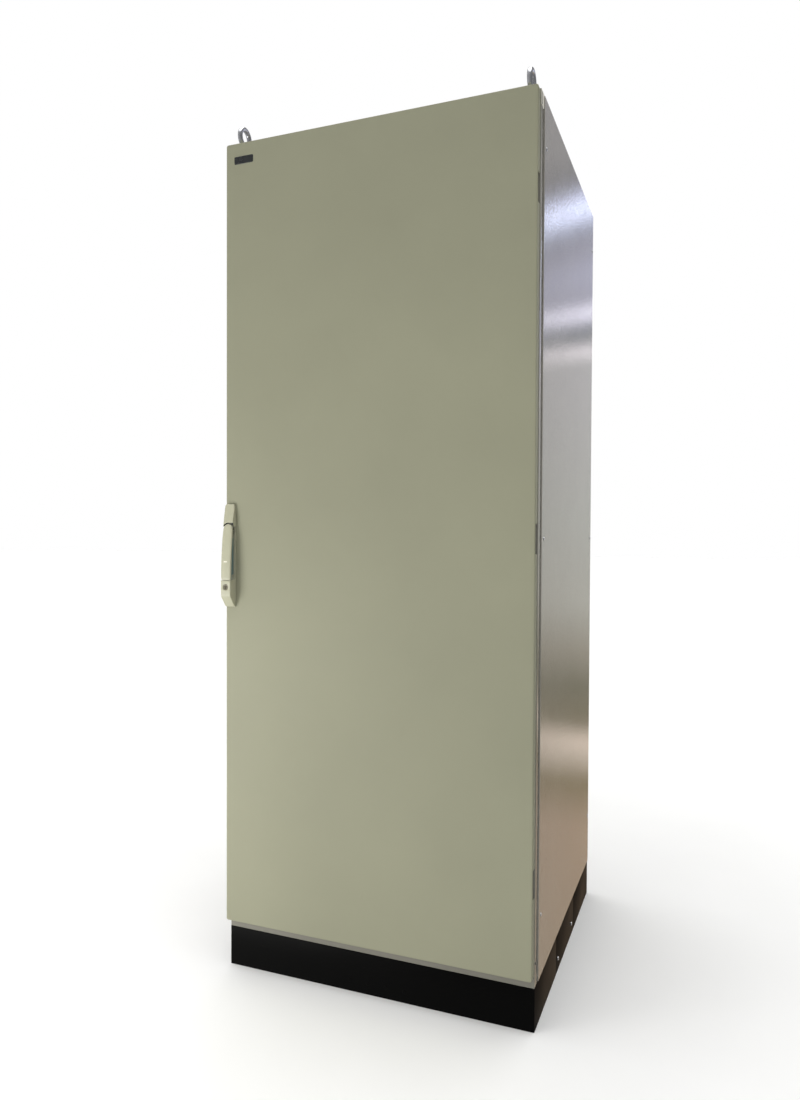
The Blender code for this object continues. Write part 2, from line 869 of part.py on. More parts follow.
def build_control_board():
    """A board on four standoffs, with a processor, two chips and a row of terminals."""
    sink_face = HEATSINK_FRONT - GAP
    board_depth = 0.405
    board = box(
        "control_board",
        (DRIVE_X - 0.115, at_depth(board_depth), 0.960),
        (DRIVE_X + 0.115, at_depth(board_depth + 0.002), 1.340),
        BOARD,
    )
    raised_parts = [
        (-0.060, 1.280, 0.030, 0.012),
        (0.040, 1.240, 0.022, 0.006),
        (-0.010, 1.120, 0.016, 0.004),
        (0.000, 0.985, 0.090, 0.014),
    ]
    for x, z, half, proud in raised_parts:
        join(
            board,
            tool_box(
                "board_part",
                (DRIVE_X + x - half, at_depth(board_depth - proud), z - 0.016),
                (DRIVE_X + x + half, at_depth(board_depth + 0.001), z + 0.016),
            ),
        )
    for x in (-0.105, 0.105):
        for z in (1.015, 1.330):
            length = sink_face - board_depth - 0.001
            middle = (DRIVE_X + x, at_depth(sink_face - length / 2), z)
            join(board, tool_cylinder("standoff", middle, 0.004, length, "Y", 8))


def build_drive_fan():
    half, low, high = 0.065, DRIVE_LOW + FRAME_SHEET + GAP, FAN_Z + 0.019
    bore = FAN_RADIUS + 0.004
    place = (DRIVE_X, at_depth(FAN_DEPTH), FAN_Z)
    housing = box(
        "drive_fan_housing",
        (DRIVE_X - half, at_depth(FAN_DEPTH) - half, low),
        (DRIVE_X + half, at_depth(FAN_DEPTH) + half, high),
        DARK_PLASTIC,
    )
    cut(housing, tool_cylinder("fan_bore", place, bore, 0.08, sides=24))
    hub, height, blades = 0.021, 0.028, 7
    bm = bmesh.new()
    add_cylinder(bm, place, hub, height, sides=14)
    rotor = make_object("drive_fan_rotor", bm, DARK_PLASTIC, place)
    bm = bmesh.new()
    for index in range(blades):
        verts = add_box(bm, (hub - 0.005, -0.011, -0.001), (FAN_RADIUS, 0.011, 0.001))
        pitch = Matrix.Rotation(math.radians(35), 4, "X")
        spread = Matrix.Rotation(2 * math.pi * index / blades, 4, "Z")
        bmesh.ops.transform(bm, matrix=Matrix.Translation(place) @ spread @ pitch, verts=verts)
    join(rotor, as_tool(make_object("fan_blades_tool", bm, group=CUTTERS)))


def build_drive_cover():
    cover = pan(
        "drive_cover",
        (DRIVE_LEFT, at_depth(COVER_FRONT), DRIVE_LOW),
        (DRIVE_RIGHT, at_depth(CHASSIS_FRONT - GAP), DRIVE_HIGH),
        (0, 1, 0),
        0.0025,
        DRIVE_PAINT,
    )
    round_edges(cover, 0.0010, 1)
    case = box(
        "keypad_case",
        (DRIVE_X - 0.042, at_depth(KEYPAD_FRONT), 1.500),
        (DRIVE_X + 0.042, at_depth(COVER_FRONT - GAP), 1.660),
        DARK_PLASTIC,
    )
    round_edges(case, 0.003)
    travel, proud = 0.0015, 0.0025
    for name, x in KEYS:
        hole_length = 0.008
        hole_middle = (x, at_depth(KEYPAD_FRONT + 0.007 - hole_length / 2 - 0.002), KEY_Z)
        cut(case, tool_cylinder(name, hole_middle, KEY_RADIUS + 0.0006, hole_length, "Y", 16))
        length = proud + 0.005 - travel - 0.0005
        middle = (x, at_depth(KEYPAD_FRONT - proud + length / 2), KEY_Z)
        bm = bmesh.new()
        add_cylinder(bm, middle, KEY_RADIUS, length, "Y", 16)
        make_object(name, bm, START_KEY if name == "key_start" else STOP_KEY, middle)


def build_breaker():
    left, right, front = BREAKER_X - 0.070, BREAKER_X + 0.070, 0.550
    body = ((left, at_depth(front), 1.690), (right, at_depth(GEAR_BACK), 1.945))
    raised = ((left, at_depth(front - 0.015), 1.750), (right, at_depth(front + MARGIN), 1.886))
    case = boxes("breaker_case", [body, raised], DARK_PLASTIC)
    place = (BREAKER_X, at_depth(TOGGLE_DEPTH), TOGGLE_Z)
    cut(case, tool_cylinder("toggle_well", place, 0.017, 0.030, "X", 20))
    cut(
        case,
        tool_box(
            "toggle_slot",
            (BREAKER_X - 0.015, at_depth(front - 0.030), TOGGLE_Z - 0.0165),
            (BREAKER_X + 0.015, at_depth(TOGGLE_DEPTH), TOGGLE_Z + 0.0165),
        ),
    )
    bm = bmesh.new()
    add_cylinder(bm, place, 0.0135, 0.028, "X", 16)
    toggle = make_object("breaker_toggle", bm, HANDLE_PLASTIC, place)
    bm = bmesh.new()
    verts = add_box(bm, (-0.010, -0.052, -0.004), (0.010, -0.005, 0.004))
    raised = Matrix.Rotation(math.radians(-22), 4, "X")
    bmesh.ops.transform(bm, matrix=Matrix.Translation(place) @ raised, verts=verts)
    join(toggle, as_tool(make_object("toggle_stick_tool", bm, group=CUTTERS)))


def build_contactor():
    half, z_low, z_high = 0.060, 1.420, 1.600
    shelf, nose, shelf_height, corner = 0.560, 0.495, 0.030, 0.010
    outline = [
        (at_depth(GEAR_BACK), z_low),
        (at_depth(shelf), z_low),
        (at_depth(shelf), z_low + shelf_height),
        (at_depth(nose + corner), z_low + shelf_height),
        (at_depth(nose), z_low + shelf_height + corner),
        (at_depth(nose), z_high - shelf_height - corner),
        (at_depth(nose + corner), z_high - shelf_height),
        (at_depth(shelf), z_high - shelf_height),
        (at_depth(shelf), z_high),
        (at_depth(GEAR_BACK), z_high),
    ]
    bm = outline_mesh(outline, "YZ", BREAKER_X, 2 * half)
    make_object("line_contactor", bm, DARK_PLASTIC)


def build_reactor_core():
    """A three-legged core of stacked sheets, with a foot above and one below."""
    leg, yoke, window_height = CORE_LEG, CORE_LEG, 0.160
    front, back = REACTOR_FRONT, REACTOR_BACK
    half_width = COIL_PITCH + leg / 2
    half_height = window_height / 2 + yoke
    core = box(
        "reactor_core",
        (REACTOR_X - half_width, at_depth(front), REACTOR_Z - half_height),
        (REACTOR_X + half_width, at_depth(back), REACTOR_Z + half_height),
        CORE_STEEL,
    )
    windows = []
    for side in (-1, 1):
        edges = sorted((side * leg / 2, side * (COIL_PITCH - leg / 2)))
        windows.append(
            (
                (REACTOR_X + edges[0], at_depth(front - MARGIN), REACTOR_Z - window_height / 2),
                (REACTOR_X + edges[1], at_depth(back + MARGIN), REACTOR_Z + window_height / 2),
            )
        )
    cut(core, tool_boxes("core_windows", windows))
    for side in (-1, 1):
        z = REACTOR_Z + side * (half_height - yoke / 2)
        join(
            core,
            tool_box(
                "core_foot",
                (REACTOR_X - 0.080, at_depth(back - 0.005), z - 0.018),
                (REACTOR_X + 0.080, at_depth(GEAR_BACK), z + 0.018),
            ),
        )


def build_reactor_coils():
    """A taped winding round each leg of the core, with rounded upright edges."""
    leg, build, clear, half = CORE_LEG, 0.030, 0.0008, 0.075
    front, back = REACTOR_FRONT, REACTOR_BACK
    for index, place in enumerate(("left", "middle", "right")):
        x = REACTOR_X + (index - 1) * COIL_PITCH
        coil = box(
            f"reactor_coil_{place}",
            (x - leg / 2 - build, at_depth(front - build), REACTOR_Z - half),
            (x + leg / 2 + build, at_depth(back + build), REACTOR_Z + half),
            COIL_WRAP,
        )
        step = round_edges(coil, 0.012, 2).modifiers["rounding"]
        step.limit_method = "WEIGHT"
        weights = coil.data.attributes.new("bevel_weight_edge", "FLOAT", "EDGE")
        for edge in coil.data.edges:
            ends = [coil.data.vertices[corner].co for corner in edge.vertices]
            upright = abs(ends[0].z - ends[1].z) > half
            weights.data[edge.index].value = 1.0 if upright else 0.0
        cut(
            coil,
            tool_box(
                "coil_hole",
                (x - leg / 2 - clear, at_depth(front - clear), REACTOR_Z - half - MARGIN),
                (x + leg / 2 + clear, at_depth(back + clear), REACTOR_Z + half + MARGIN),
            ),
        )


def build_terminal_block():
    """A row of terminals with a groove behind for the rail that it clips to."""
    z, back = 1.200, GEAR_BACK
    left, right = 0.080, 0.310
    half_foot, half_nose, shoulder, nose = 0.030, 0.014, 0.030, 0.052
    groove_half, groove_deep = 0.0185, 0.0085
    outline = [
        (at_depth(back), z - half_foot),
        (at_depth(back - shoulder), z - half_foot),
        (at_depth(back - nose), z - half_nose),
        (at_depth(back - nose), z + half_nose),
        (at_depth(back - shoulder), z + half_foot),
        (at_depth(back), z + half_foot),
    ]
    bm = outline_mesh(outline, "YZ", (left + right) / 2, right - left)
    block = make_object("terminal_block", bm, HANDLE_PLASTIC)
    cut(
        block,
        tool_box(
            "rail_groove",
            (left - MARGIN, at_depth(back - groove_deep), z - groove_half),
            (right + MARGIN, at_depth(back + MARGIN), z + groove_half),
        ),
    )


# ---- Door ----


def ring_on_door(name, half_x, z_range, depth_range, width, material, parent):
    """A rectangular ring on the door's inner face."""
    low = (-half_x, at_depth(depth_range[0]), z_range[0])
    high = (half_x, at_depth(depth_range[1]), z_range[1])
    obj = box(name, low, high, material, parent)
    cut(
        obj,
        tool_box(
            name,
            (low[0] + width, low[1] - MARGIN, low[2] + width),
            (high[0] - width, high[1] + MARGIN, high[2] - width),
        ),
    )


def build_door(axis):
    door = pan(
        "door_panel",
        (-DOOR_X, at_depth(0), DOOR_LOW),
        (DOOR_X, at_depth(DOOR_DEPTH), DOOR_HIGH),
        (0, 1, 0),
        DOOR_SHEET,
        DOOR_PAINT,
        axis,
    )
    round_edges(door, 0.0009, 1)
    notches = []
    for _, z in HINGE_HEIGHTS:
        half = BRACKET_HEIGHT / 2 + 0.003
        notches.append(
            (
                (HINGE_X + 0.0045, at_depth(HINGE_DEPTH - 0.0072), z - half),
                (DOOR_X + MARGIN, at_depth(DOOR_DEPTH + MARGIN), z + half),
            )
        )
    cut(door, tool_boxes("hinge_notches", notches))
    for z, radius in ((TURN_Z, 0.0065), (LOCK_Z, 0.0060)):
        cut(door, tool_cylinder("door_hole", (HANDLE_X, at_depth(0), z), radius, 0.02, "Y", 16))
    inner = DOOR_SHEET + GAP
    seal_depths = (inner, DOOR_DEPTH + 0.0008)
    ring_on_door("door_seal", 0.372, (0.129, 2.072), seal_depths, 0.012, FOAM, axis)
    ring_on_door("door_stiffener", 0.355, (0.146, 2.054), (inner, 0.018), 0.025, GALVANISED, axis)


def build_hinges(axis):
    """Each hinge has a bracket on the post, with its pin, and a leaf on the door with two knuckles."""
    back = FRAME_FRONT - GAP
    for place, z in HINGE_HEIGHTS:
        half, leaf_half = BRACKET_HEIGHT / 2, LEAF_HEIGHT / 2
        bracket = box(
            f"hinge_bracket_{place}",
            (HINGE_X - 0.0155, at_depth(back - 0.003), z - half),
            (HINGE_X + 0.0005, at_depth(back), z + half),
            ZINC,
        )
        middle = (HINGE_X, at_depth(HINGE_DEPTH), z)
        join(
            bracket,
            tool_box(
                "hinge_arm",
                (HINGE_X - 0.0035, at_depth(HINGE_DEPTH), z - half),
                (HINGE_X + 0.0005, at_depth(back - 0.001), z + half),
            ),
        )
        join(bracket, tool_cylinder("hinge_barrel", middle, KNUCKLE_RADIUS, BRACKET_HEIGHT, sides=16))
        join(bracket, tool_cylinder("hinge_pin", middle, PIN_RADIUS, LEAF_HEIGHT - 0.002, sides=16))
        inner = DOOR_SHEET + GAP
        leaf = box(
            f"hinge_leaf_{place}",
            (HINGE_X - 0.0170, at_depth(inner), z - leaf_half),
            (HINGE_X - 0.0020, at_depth(inner + 0.0025), z + leaf_half),
            ZINC,
            axis,
        )
        for side in (-1, 1):
            edges = sorted((z + side * (half + GAP), z + side * leaf_half))
            join(
                leaf,
                tool_box(
                    "leaf_web",
                    (HINGE_X - 0.0038, at_depth(inner + 0.001), edges[0]),
                    (HINGE_X - 0.0005, at_depth(HINGE_DEPTH), edges[1]),
                ),
            )
            knuckle = (HINGE_X, at_depth(HINGE_DEPTH), sum(edges) / 2)
            length = edges[1] - edges[0]
            join(leaf, tool_cylinder("leaf_knuckle", knuckle, KNUCKLE_RADIUS, length, sides=16))
        bore = tool_cylinder("leaf_bore", middle, PIN_RADIUS + 0.0003, LEAF_HEIGHT + MARGIN, sides=16)
        cut(leaf, bore)


# ---- Handle ----


def bow(z):
    """How far the handle's outer surface stands off the door at this height."""
    below_top = HANDLE_TOP - z
    if below_top >= BOW_LENGTH:
        return HANDLE_PROUD
    share = (BOW_LENGTH - below_top) / BOW_LENGTH
    return HANDLE_PROUD - (HANDLE_PROUD - CAP_PROUD) * share**2


def bow_points(z_from, z_to, count, inset=0.0):
    """(y, z) points along the bowed outer surface, or along a line inset from it."""
    heights = [z_from + (z_to - z_from) * index / (count - 1) for index in range(count)]
    return [(at_depth(-(bow(z) - inset)), z) for z in heights]


def build_handle_housing(axis):
    slope_top = HANDLE_BOTTOM + 0.029
    outline = bow_points(HANDLE_TOP, slope_top, 14)
    outline += [
        (at_depth(-0.007), HANDLE_BOTTOM + 0.004),
        (at_depth(-0.004), HANDLE_BOTTOM),
        (at_depth(-GAP), HANDLE_BOTTOM),
        (at_depth(-GAP), HANDLE_TOP),
    ]
    bm = outline_mesh(outline, "YZ", HANDLE_X, 2 * HANDLE_HALF)
    housing = make_object("handle_housing", bm, HANDLE_PLASTIC, parent=axis)
    turn_axis = (HANDLE_X, at_depth(0), TURN_Z)
    floor = 0.002
    middle = (HANDLE_X, at_depth(-floor - 0.025), TURN_Z)
    cut(housing, tool_cylinder("head_recess", middle, RECESS_RADIUS, 0.050, "Y", 32))
    swing_side = HANDLE_X + HANDLE_HALF + MARGIN
    swing_low, swing_top = 0.0118, TURN_Z + HANDLE_HALF + 0.0004
    cut(
        housing,
        tool_box(
            "swing_clearance",
            (HANDLE_X, at_depth(-0.060), TURN_Z - 0.001),
            (swing_side, at_depth(-swing_low), swing_top),
        ),
    )
    reach = LEVER_REACH + 0.0008
    steps = 6
    side = HANDLE_HALF + MARGIN
    swing = math.asin(side / reach)
    arc = []
    for index in range(steps + 1):
        angle = -swing + 2 * swing * index / steps
        arc.append((HANDLE_X + reach * math.sin(angle), TURN_Z - reach * math.cos(angle)))
    window = arc + [(HANDLE_X + side, TURN_Z), (HANDLE_X - side, TURN_Z)]
    bm = outline_mesh(window, "XZ", at_depth(-HANDLE_BASE - 0.020), 0.040)
    cut(housing, as_tool(make_object("lever_window_tool", bm, group=CUTTERS)))
    cut(housing, tool_cylinder("spindle_hole", turn_axis, 0.0062, 0.02, "Y", 16))
    bore_floor, bore_length = 0.004, 0.030
    lock_middle = (HANDLE_X, at_depth(-bore_floor - bore_length / 2), LOCK_Z)
    lock_bore = LOCK_RADIUS + 2 * GAP
    cut(housing, tool_cylinder("lock_bore", lock_middle, lock_bore, bore_length, "Y", 20))
    lock_spindle = (HANDLE_X, at_depth(0), LOCK_Z)
    cut(housing, tool_cylinder("lock_hole", lock_spindle, 0.0045, 0.020, "Y", 12))


def build_handle_hub(turn_axis):
    """The hub's foot, lug, cross pin and the spindle with the pinion behind the door."""
    foot_low, foot_high, foot_radius = 0.0023, 0.0052, 0.0090
    foot_middle = (HANDLE_X, at_depth(-(foot_low + foot_high) / 2), TURN_Z)
    bm = bmesh.new()
    add_cylinder(bm, foot_middle, foot_radius, foot_high - foot_low, "Y", 16)
    hub = make_object("handle_hub", bm, ZINC, world_place(turn_axis), turn_axis)
    join(
        hub,
        tool_box(
            "hub_lug",
            (HANDLE_X - 0.0062, at_depth(-TILT_PROUD), TURN_Z - 0.0032),
            (HANDLE_X + 0.0062, at_depth(-foot_high + 0.001), TURN_Z + 0.0032),
        ),
    )
    tilt = (HANDLE_X, at_depth(-TILT_PROUD), TURN_Z)
    join(hub, tool_cylinder("hub_eye", tilt, 0.0032, 0.0124, "X", 16))
    join(hub, tool_cylinder("hub_pin", tilt, 0.0016, 0.0210, "X", 12))
    spindle_back = 0.0170
    length = spindle_back + foot_low + 0.001
    middle = (HANDLE_X, at_depth(spindle_back - length / 2), TURN_Z)
    join(hub, tool_cylinder("spindle", middle, SPINDLE_RADIUS, length, "Y", 16))
    pinion = (HANDLE_X, at_depth(0.0100), TURN_Z)
    join(hub, tool_cylinder("pinion", pinion, 0.0075, 0.0044, "Y", 14))


def build_handle_lever(tilt_axis):
    """A bowed lever with a round head, and two ears round the hub's cross pin."""
    end = TURN_Z - LEVER_REACH + 0.0002
    outer = bow_points(TURN_Z + HEAD_RADIUS + 0.002, end - 0.002, 12)
    inner = [
        (at_depth(-(bow(end) - 0.0085)), end - 0.002),
        (at_depth(-(bow(1.080) - 0.0085)), 1.080),
        (at_depth(-(bow(1.112) - 0.0050)), 1.112),
        (at_depth(-(bow(TURN_Z) - 0.0040)), TURN_Z),
        (at_depth(-(bow(TURN_Z + 0.015) - 0.0040)), TURN_Z + HEAD_RADIUS + 0.002),
    ]
    bm = outline_mesh(outer + inner, "YZ", HANDLE_X, 2 * HANDLE_HALF + 0.004)
    lever = make_object("handle_lever", bm, HANDLE_PLASTIC, world_place(tilt_axis), tilt_axis)
    steps = 10
    plan = []
    for index in range(steps + 1):
        angle = math.pi * index / steps
        plan.append((HANDLE_X + HEAD_RADIUS * math.cos(angle), TURN_Z + HEAD_RADIUS * math.sin(angle)))
    plan.append((HANDLE_X - HANDLE_HALF, TURN_Z - 0.020))
    swing = math.asin(HANDLE_HALF / LEVER_REACH)
    for index in range(5):
        angle = -swing + 2 * swing * index / 4
        plan.append((HANDLE_X + LEVER_REACH * math.sin(angle), TURN_Z - LEVER_REACH * math.cos(angle)))
    plan.append((HANDLE_X + HANDLE_HALF, TURN_Z - 0.020))
    bm = outline_mesh(plan, "XZ", at_depth(-0.020), 0.060)
    combine(lever, as_tool(make_object("lever_plan_tool", bm, group=CUTTERS)), "INTERSECT")
    ear_low, ear_high = 0.0070, 0.0100
    for side in (-1, 1):
        edges = sorted((HANDLE_X + side * ear_low, HANDLE_X + side * ear_high))
        tilt = (sum(edges) / 2, at_depth(-TILT_PROUD), TURN_Z)
        join(lever, tool_cylinder("lever_ear", tilt, 0.0034, ear_high - ear_low, "X", 16))
        join(
            lever,
            tool_box(
                "ear_neck",
                (edges[0], at_depth(-0.0145), TURN_Z - 0.0034),
                (edges[1], at_depth(-TILT_PROUD), TURN_Z + 0.0034),
            ),
        )
    pin_hole = (HANDLE_X, at_depth(-TILT_PROUD), TURN_Z)
    cut(lever, tool_cylinder("ear_holes", pin_hole, 0.0019, 0.0250, "X", 12))


def build_lock(door_axis):
    middle = (HANDLE_X, at_depth(-(LOCK_FOOT + LOCK_FRONT) / 2), LOCK_Z)
    bm = bmesh.new()
    add_cylinder(bm, middle, LOCK_RADIUS, LOCK_FRONT - LOCK_FOOT, "Y", 20)
    insert = make_object("lock_insert", bm, ZINC, middle, door_axis)
    cut(
        insert,
        tool_box(
            "key_slot",
            (HANDLE_X - 0.0012, at_depth(-LOCK_FRONT - MARGIN), LOCK_Z - 0.0045),
            (HANDLE_X + 0.0012, at_depth(-LOCK_FRONT + 0.004), LOCK_Z + 0.0045),
        ),
    )


def build_rods(door_axis):
    gear_low, gear_high = TURN_Z - 0.065, TURN_Z + 0.065
    left, right = HANDLE_X - 0.0110, HANDLE_X + 0.0105
    inner = DOOR_SHEET + GAP
    gear_box = pan(
        "lock_gearbox",
        (left, at_depth(inner), gear_low),
        (right, at_depth(0.0215), gear_high),
        (0, -1, 0),
        0.0015,
        ZINC,
        door_axis,
    )
    rod_half, rod_front, rod_back = 0.0070, 0.0080, 0.0120
    clear = 0.0008
    slots = [
        (
            (HANDLE_X - rod_half - clear, at_depth(rod_front - clear), z - MARGIN),
            (HANDLE_X + rod_half + clear, at_depth(rod_back + clear), z + MARGIN),
        )
        for z in (gear_low, gear_high)
    ]
    cut(gear_box, tool_boxes("rod_slots", slots))
    inner_gap = 0.030
    for name, z_low, z_high in (
        ("locking_rod_upper", TURN_Z + inner_gap, DOOR_HIGH - 0.012),
        ("locking_rod_lower", DOOR_LOW + 0.012, TURN_Z - inner_gap),
    ):
        low = (HANDLE_X - rod_half, at_depth(rod_front), z_low)
        high = (HANDLE_X + rod_half, at_depth(rod_back), z_high)
        rod = box(name, low, high, ZINC, door_axis)
        roller_z = z_high - 0.012 if name.endswith("upper") else z_low + 0.012
        roller = (HANDLE_X, at_depth(0.0150), roller_z)
        join(rod, tool_cylinder("rod_roller", roller, 0.0065, 0.0120, "Y", 14))


def main():
    build_plinth()
    build_frame()
    build_posts()
    build_roof()
    build_side_panels()
    build_rear_panel()
    build_grilles()
    build_gland_plate()
    build_eyebolts()
    build_mounting_plate()
    build_earth_bar()
    build_chassis()
    build_heatsink()
    build_power_module()
    build_capacitors()
    build_control_board()
    build_drive_fan()
    build_drive_cover()
    build_breaker()
    build_contactor()
    build_reactor_core()
    build_reactor_coils()
    build_terminal_block()
    door_axis = joint_axis("door_axis", (HINGE_X, at_depth(HINGE_DEPTH), DOOR_LOW))
    build_door(door_axis)
    build_hinges(door_axis)
    turn_place = Vector((HANDLE_X, at_depth(-TILT_PROUD), TURN_Z))
    turn_axis = joint_axis("handle_turn_axis", turn_place, door_axis)
    tilt_axis = joint_axis("handle_tilt_axis", turn_place, turn_axis)
    build_handle_housing(door_axis)
    build_handle_hub(turn_axis)
    build_handle_lever(tilt_axis)
    build_lock(door_axis)
    build_rods(door_axis)
    shade_round_faces()


main()
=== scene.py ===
"""Looks of the cabinet-built variable frequency drive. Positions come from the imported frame."""

import json
from itertools import product
from math import asin, cos, hypot, pi, radians, sin, sqrt

import bmesh
import bpy
from mathutils import Matrix, Vector


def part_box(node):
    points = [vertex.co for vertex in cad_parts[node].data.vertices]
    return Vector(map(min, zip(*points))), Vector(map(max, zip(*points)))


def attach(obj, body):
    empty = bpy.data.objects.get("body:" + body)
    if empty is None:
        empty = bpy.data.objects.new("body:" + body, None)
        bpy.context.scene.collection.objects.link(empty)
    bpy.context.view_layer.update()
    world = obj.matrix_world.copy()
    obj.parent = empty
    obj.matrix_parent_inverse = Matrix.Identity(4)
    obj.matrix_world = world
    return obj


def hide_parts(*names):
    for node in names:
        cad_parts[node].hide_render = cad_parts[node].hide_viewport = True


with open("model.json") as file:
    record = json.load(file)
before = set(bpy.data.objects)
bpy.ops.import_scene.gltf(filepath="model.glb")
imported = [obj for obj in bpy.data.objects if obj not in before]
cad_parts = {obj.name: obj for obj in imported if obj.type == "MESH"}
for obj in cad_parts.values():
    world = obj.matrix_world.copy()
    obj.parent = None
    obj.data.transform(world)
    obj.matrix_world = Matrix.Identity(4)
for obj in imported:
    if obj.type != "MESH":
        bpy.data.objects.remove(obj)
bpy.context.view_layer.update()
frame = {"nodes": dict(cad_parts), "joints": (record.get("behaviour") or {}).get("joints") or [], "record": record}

# ---- Places read from the frame ----
DOOR_LOW, DOOR_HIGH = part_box("door_panel")
FACE_Y = DOOR_LOW.y
FOOT_LOW, FOOT_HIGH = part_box("handle_housing")
LEVER_LOW, LEVER_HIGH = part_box("handle_lever")
PLATE_LOW, PLATE_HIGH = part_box("mounting_plate")
RING_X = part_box("post_rear_right")[1].x
TOP_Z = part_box("roof_panel")[1].z
JOINTS = {joint["name"]: joint for joint in frame["joints"]}
TURN_AT = Vector(JOINTS["handle_turn"]["pos_m"])
LOCK_AT = Vector(JOINTS["lock_turn"]["pos_m"])
RECORD = frame["record"]
SLOT_OF = {part["node"]: part["material_slot"] for part in RECORD["subparts"]}
BODY_OF = {node: body for body, nodes in RECORD["behaviour"]["bodies"].items() for node in nodes}

SMALL = 0.0003
PLATE_Y = PLATE_LOW.y - SMALL
HANDLE_X = TURN_AT.x
HANDLE_HALF = (FOOT_HIGH.x - FOOT_LOW.x) / 2
HANDLE_PROUD = FACE_Y - LEVER_LOW.y
HANDLE_TOP = FOOT_HIGH.z
HANDLE_BOTTOM = FOOT_LOW.z
LEVER_HALF = (LEVER_HIGH.x - LEVER_LOW.x) / 2
LEVER_LENGTH = TURN_AT.z - LEVER_LOW.z
BOW_LENGTH = 0.185
CAP_PROUD = 0.005
WINDOW_FILLET = 0.012
RECESS = 0.0151
SIDES = (("left", -1, "-X"), ("right", 1, "X"))
HOLE_PITCH = 0.025
POLE_PITCH = 0.038
BOLT = (0.01, 0.005)


# ---- Finishes ----


class Nodes:
    """The node tree of a new material or world, with short calls for what the finishes share."""

    def __init__(self, owner, shader="Principled BSDF"):
        owner.use_nodes = True
        self.owner = owner
        self.nodes = owner.node_tree.nodes
        self.shader = self.nodes[shader]
        self.place = self.add("TexCoord", "Object")

    def put(self, socket, value):
        if isinstance(value, bpy.types.NodeSocket):
            self.owner.node_tree.links.new(value, socket)
        elif value is not None:
            socket.default_value = value

    def fill(self, node, inputs):
        for key, value in inputs.items():
            self.put(node.inputs[key.replace("_", " ")], value)
        return node

    def add(self, kind, output, **inputs):
        return self.fill(self.nodes.new("ShaderNode" + kind), inputs).outputs[output]

    def set(self, **inputs):
        self.fill(self.shader, inputs)

    def noise(self, scale, detail=2, stretch=None):
        place = self.add("Mapping", "Vector", Vector=self.place, Scale=stretch) if stretch else self.place
        return self.add("TexNoise", "Fac", Vector=place, Scale=scale, Detail=detail, Roughness=0.5)

    def cells(self, scale, output):
        return self.add("TexVoronoi", output, Vector=self.place, Scale=scale)

    def remap(self, value, low, high, start=0.3, stop=0.7):
        ends = {"From_Min": start, "From_Max": stop, "To_Min": low, "To_Max": high}
        return self.add("MapRange", "Result", Value=value, **ends)

    def maths(self, operation, *values):
        node = self.nodes.new("ShaderNodeMath")
        node.operation = operation
        for socket, value in zip(node.inputs, values):
            self.put(socket, value)
        return node.outputs[0]

    def mix(self, share, first, second):
        node = self.nodes.new("ShaderNodeMix")
        node.data_type = "RGBA"
        for index, value in ((0, share), (6, first), (7, second)):
            self.put(node.inputs[index], (*value, 1) if isinstance(value, tuple) else value)
        return node.outputs[2]

    def shades(self, value, colour, dark, light, start=0.3, stop=0.7):
        """The colour between two factors of itself, as the value goes from start to stop."""
        ends = [tuple(min(1, part * factor) for part in colour) for factor in (dark, light)]
        return self.mix(self.remap(value, 0, 1, start, stop), *ends)

    def surface(self, colour, roughness, normal, metallic=0):
        self.set(Base_Color=colour, Roughness=roughness, Normal=normal, Metallic=metallic)
        return self.owner

    def bump(self, height, strength, distance, below=None):
        return self.add("Bump", "Normal", Height=height, Strength=strength, Distance=distance, Normal=below)


def powder_coat(name, colour, roughness, peel=0.12, peel_scale=420, specular=0.5):
    """Powder coat: faint cloudy tone, fine orange peel and a few dust specks."""
    n = Nodes(bpy.data.materials.new(name))
    cloudy = n.shades(n.noise(2.2, 3), colour, 0.95, 1.05)
    specks = n.remap(n.noise(900, 1), 0, 0.25, 0.72, 0.8)
    wide = n.bump(n.noise(55, 1), peel * 0.35, 0.0006)
    n.set(Specular_IOR_Level=specular)
    return n.surface(
        n.mix(specks, cloudy, tuple(0.6 * part for part in colour)),
        n.remap(n.noise(9, 4), roughness - 0.03, roughness + 0.04),
        n.bump(n.noise(peel_scale, 1.5), peel, 0.0006, wide),
    )


def moulded(name, colour, roughness=0.42, grain=0.08, spread=0.05):
    """Injection-moulded plastic with a fine spark-eroded grain and a slightly uneven sheen."""
    n = Nodes(bpy.data.materials.new(name))
    return n.surface(
        n.shades(n.noise(14, 3), colour, 1 - spread, 1 + spread),
        n.remap(n.noise(60, 3), roughness - 0.05, roughness + 0.05),
        n.bump(n.noise(1500), grain, 0.0004),
    )


def plated(name, colour, roughness=0.28, scratch=0.06):
    """Bright metal with faint drawing lines and clouding."""
    n = Nodes(bpy.data.materials.new(name))
    return n.surface(
        n.shades(n.noise(45, 4), colour, 0.82, 1.08),
        n.remap(n.noise(160, 4), roughness - 0.08, roughness + 0.12),
        n.bump(n.noise(260, 3, (1, 1, 0.08)), scratch, 0.0004),
        metallic=1,
    )


def galvanised(name, colour):
    """Hot-dip galvanised sheet: spangle cells of slightly different grey and gloss."""
    n = Nodes(bpy.data.materials.new(name))
    grey = n.add("SeparateColor", "Red", Color=n.cells(95, "Color"))
    return n.surface(
        n.shades(grey, colour, 0.8, 1.12, 0, 1),
        n.remap(grey, 0.34, 0.52, 0, 1),
        n.bump(n.noise(300, 3), 0.05, 0.0004),
        metallic=0.9,
    )


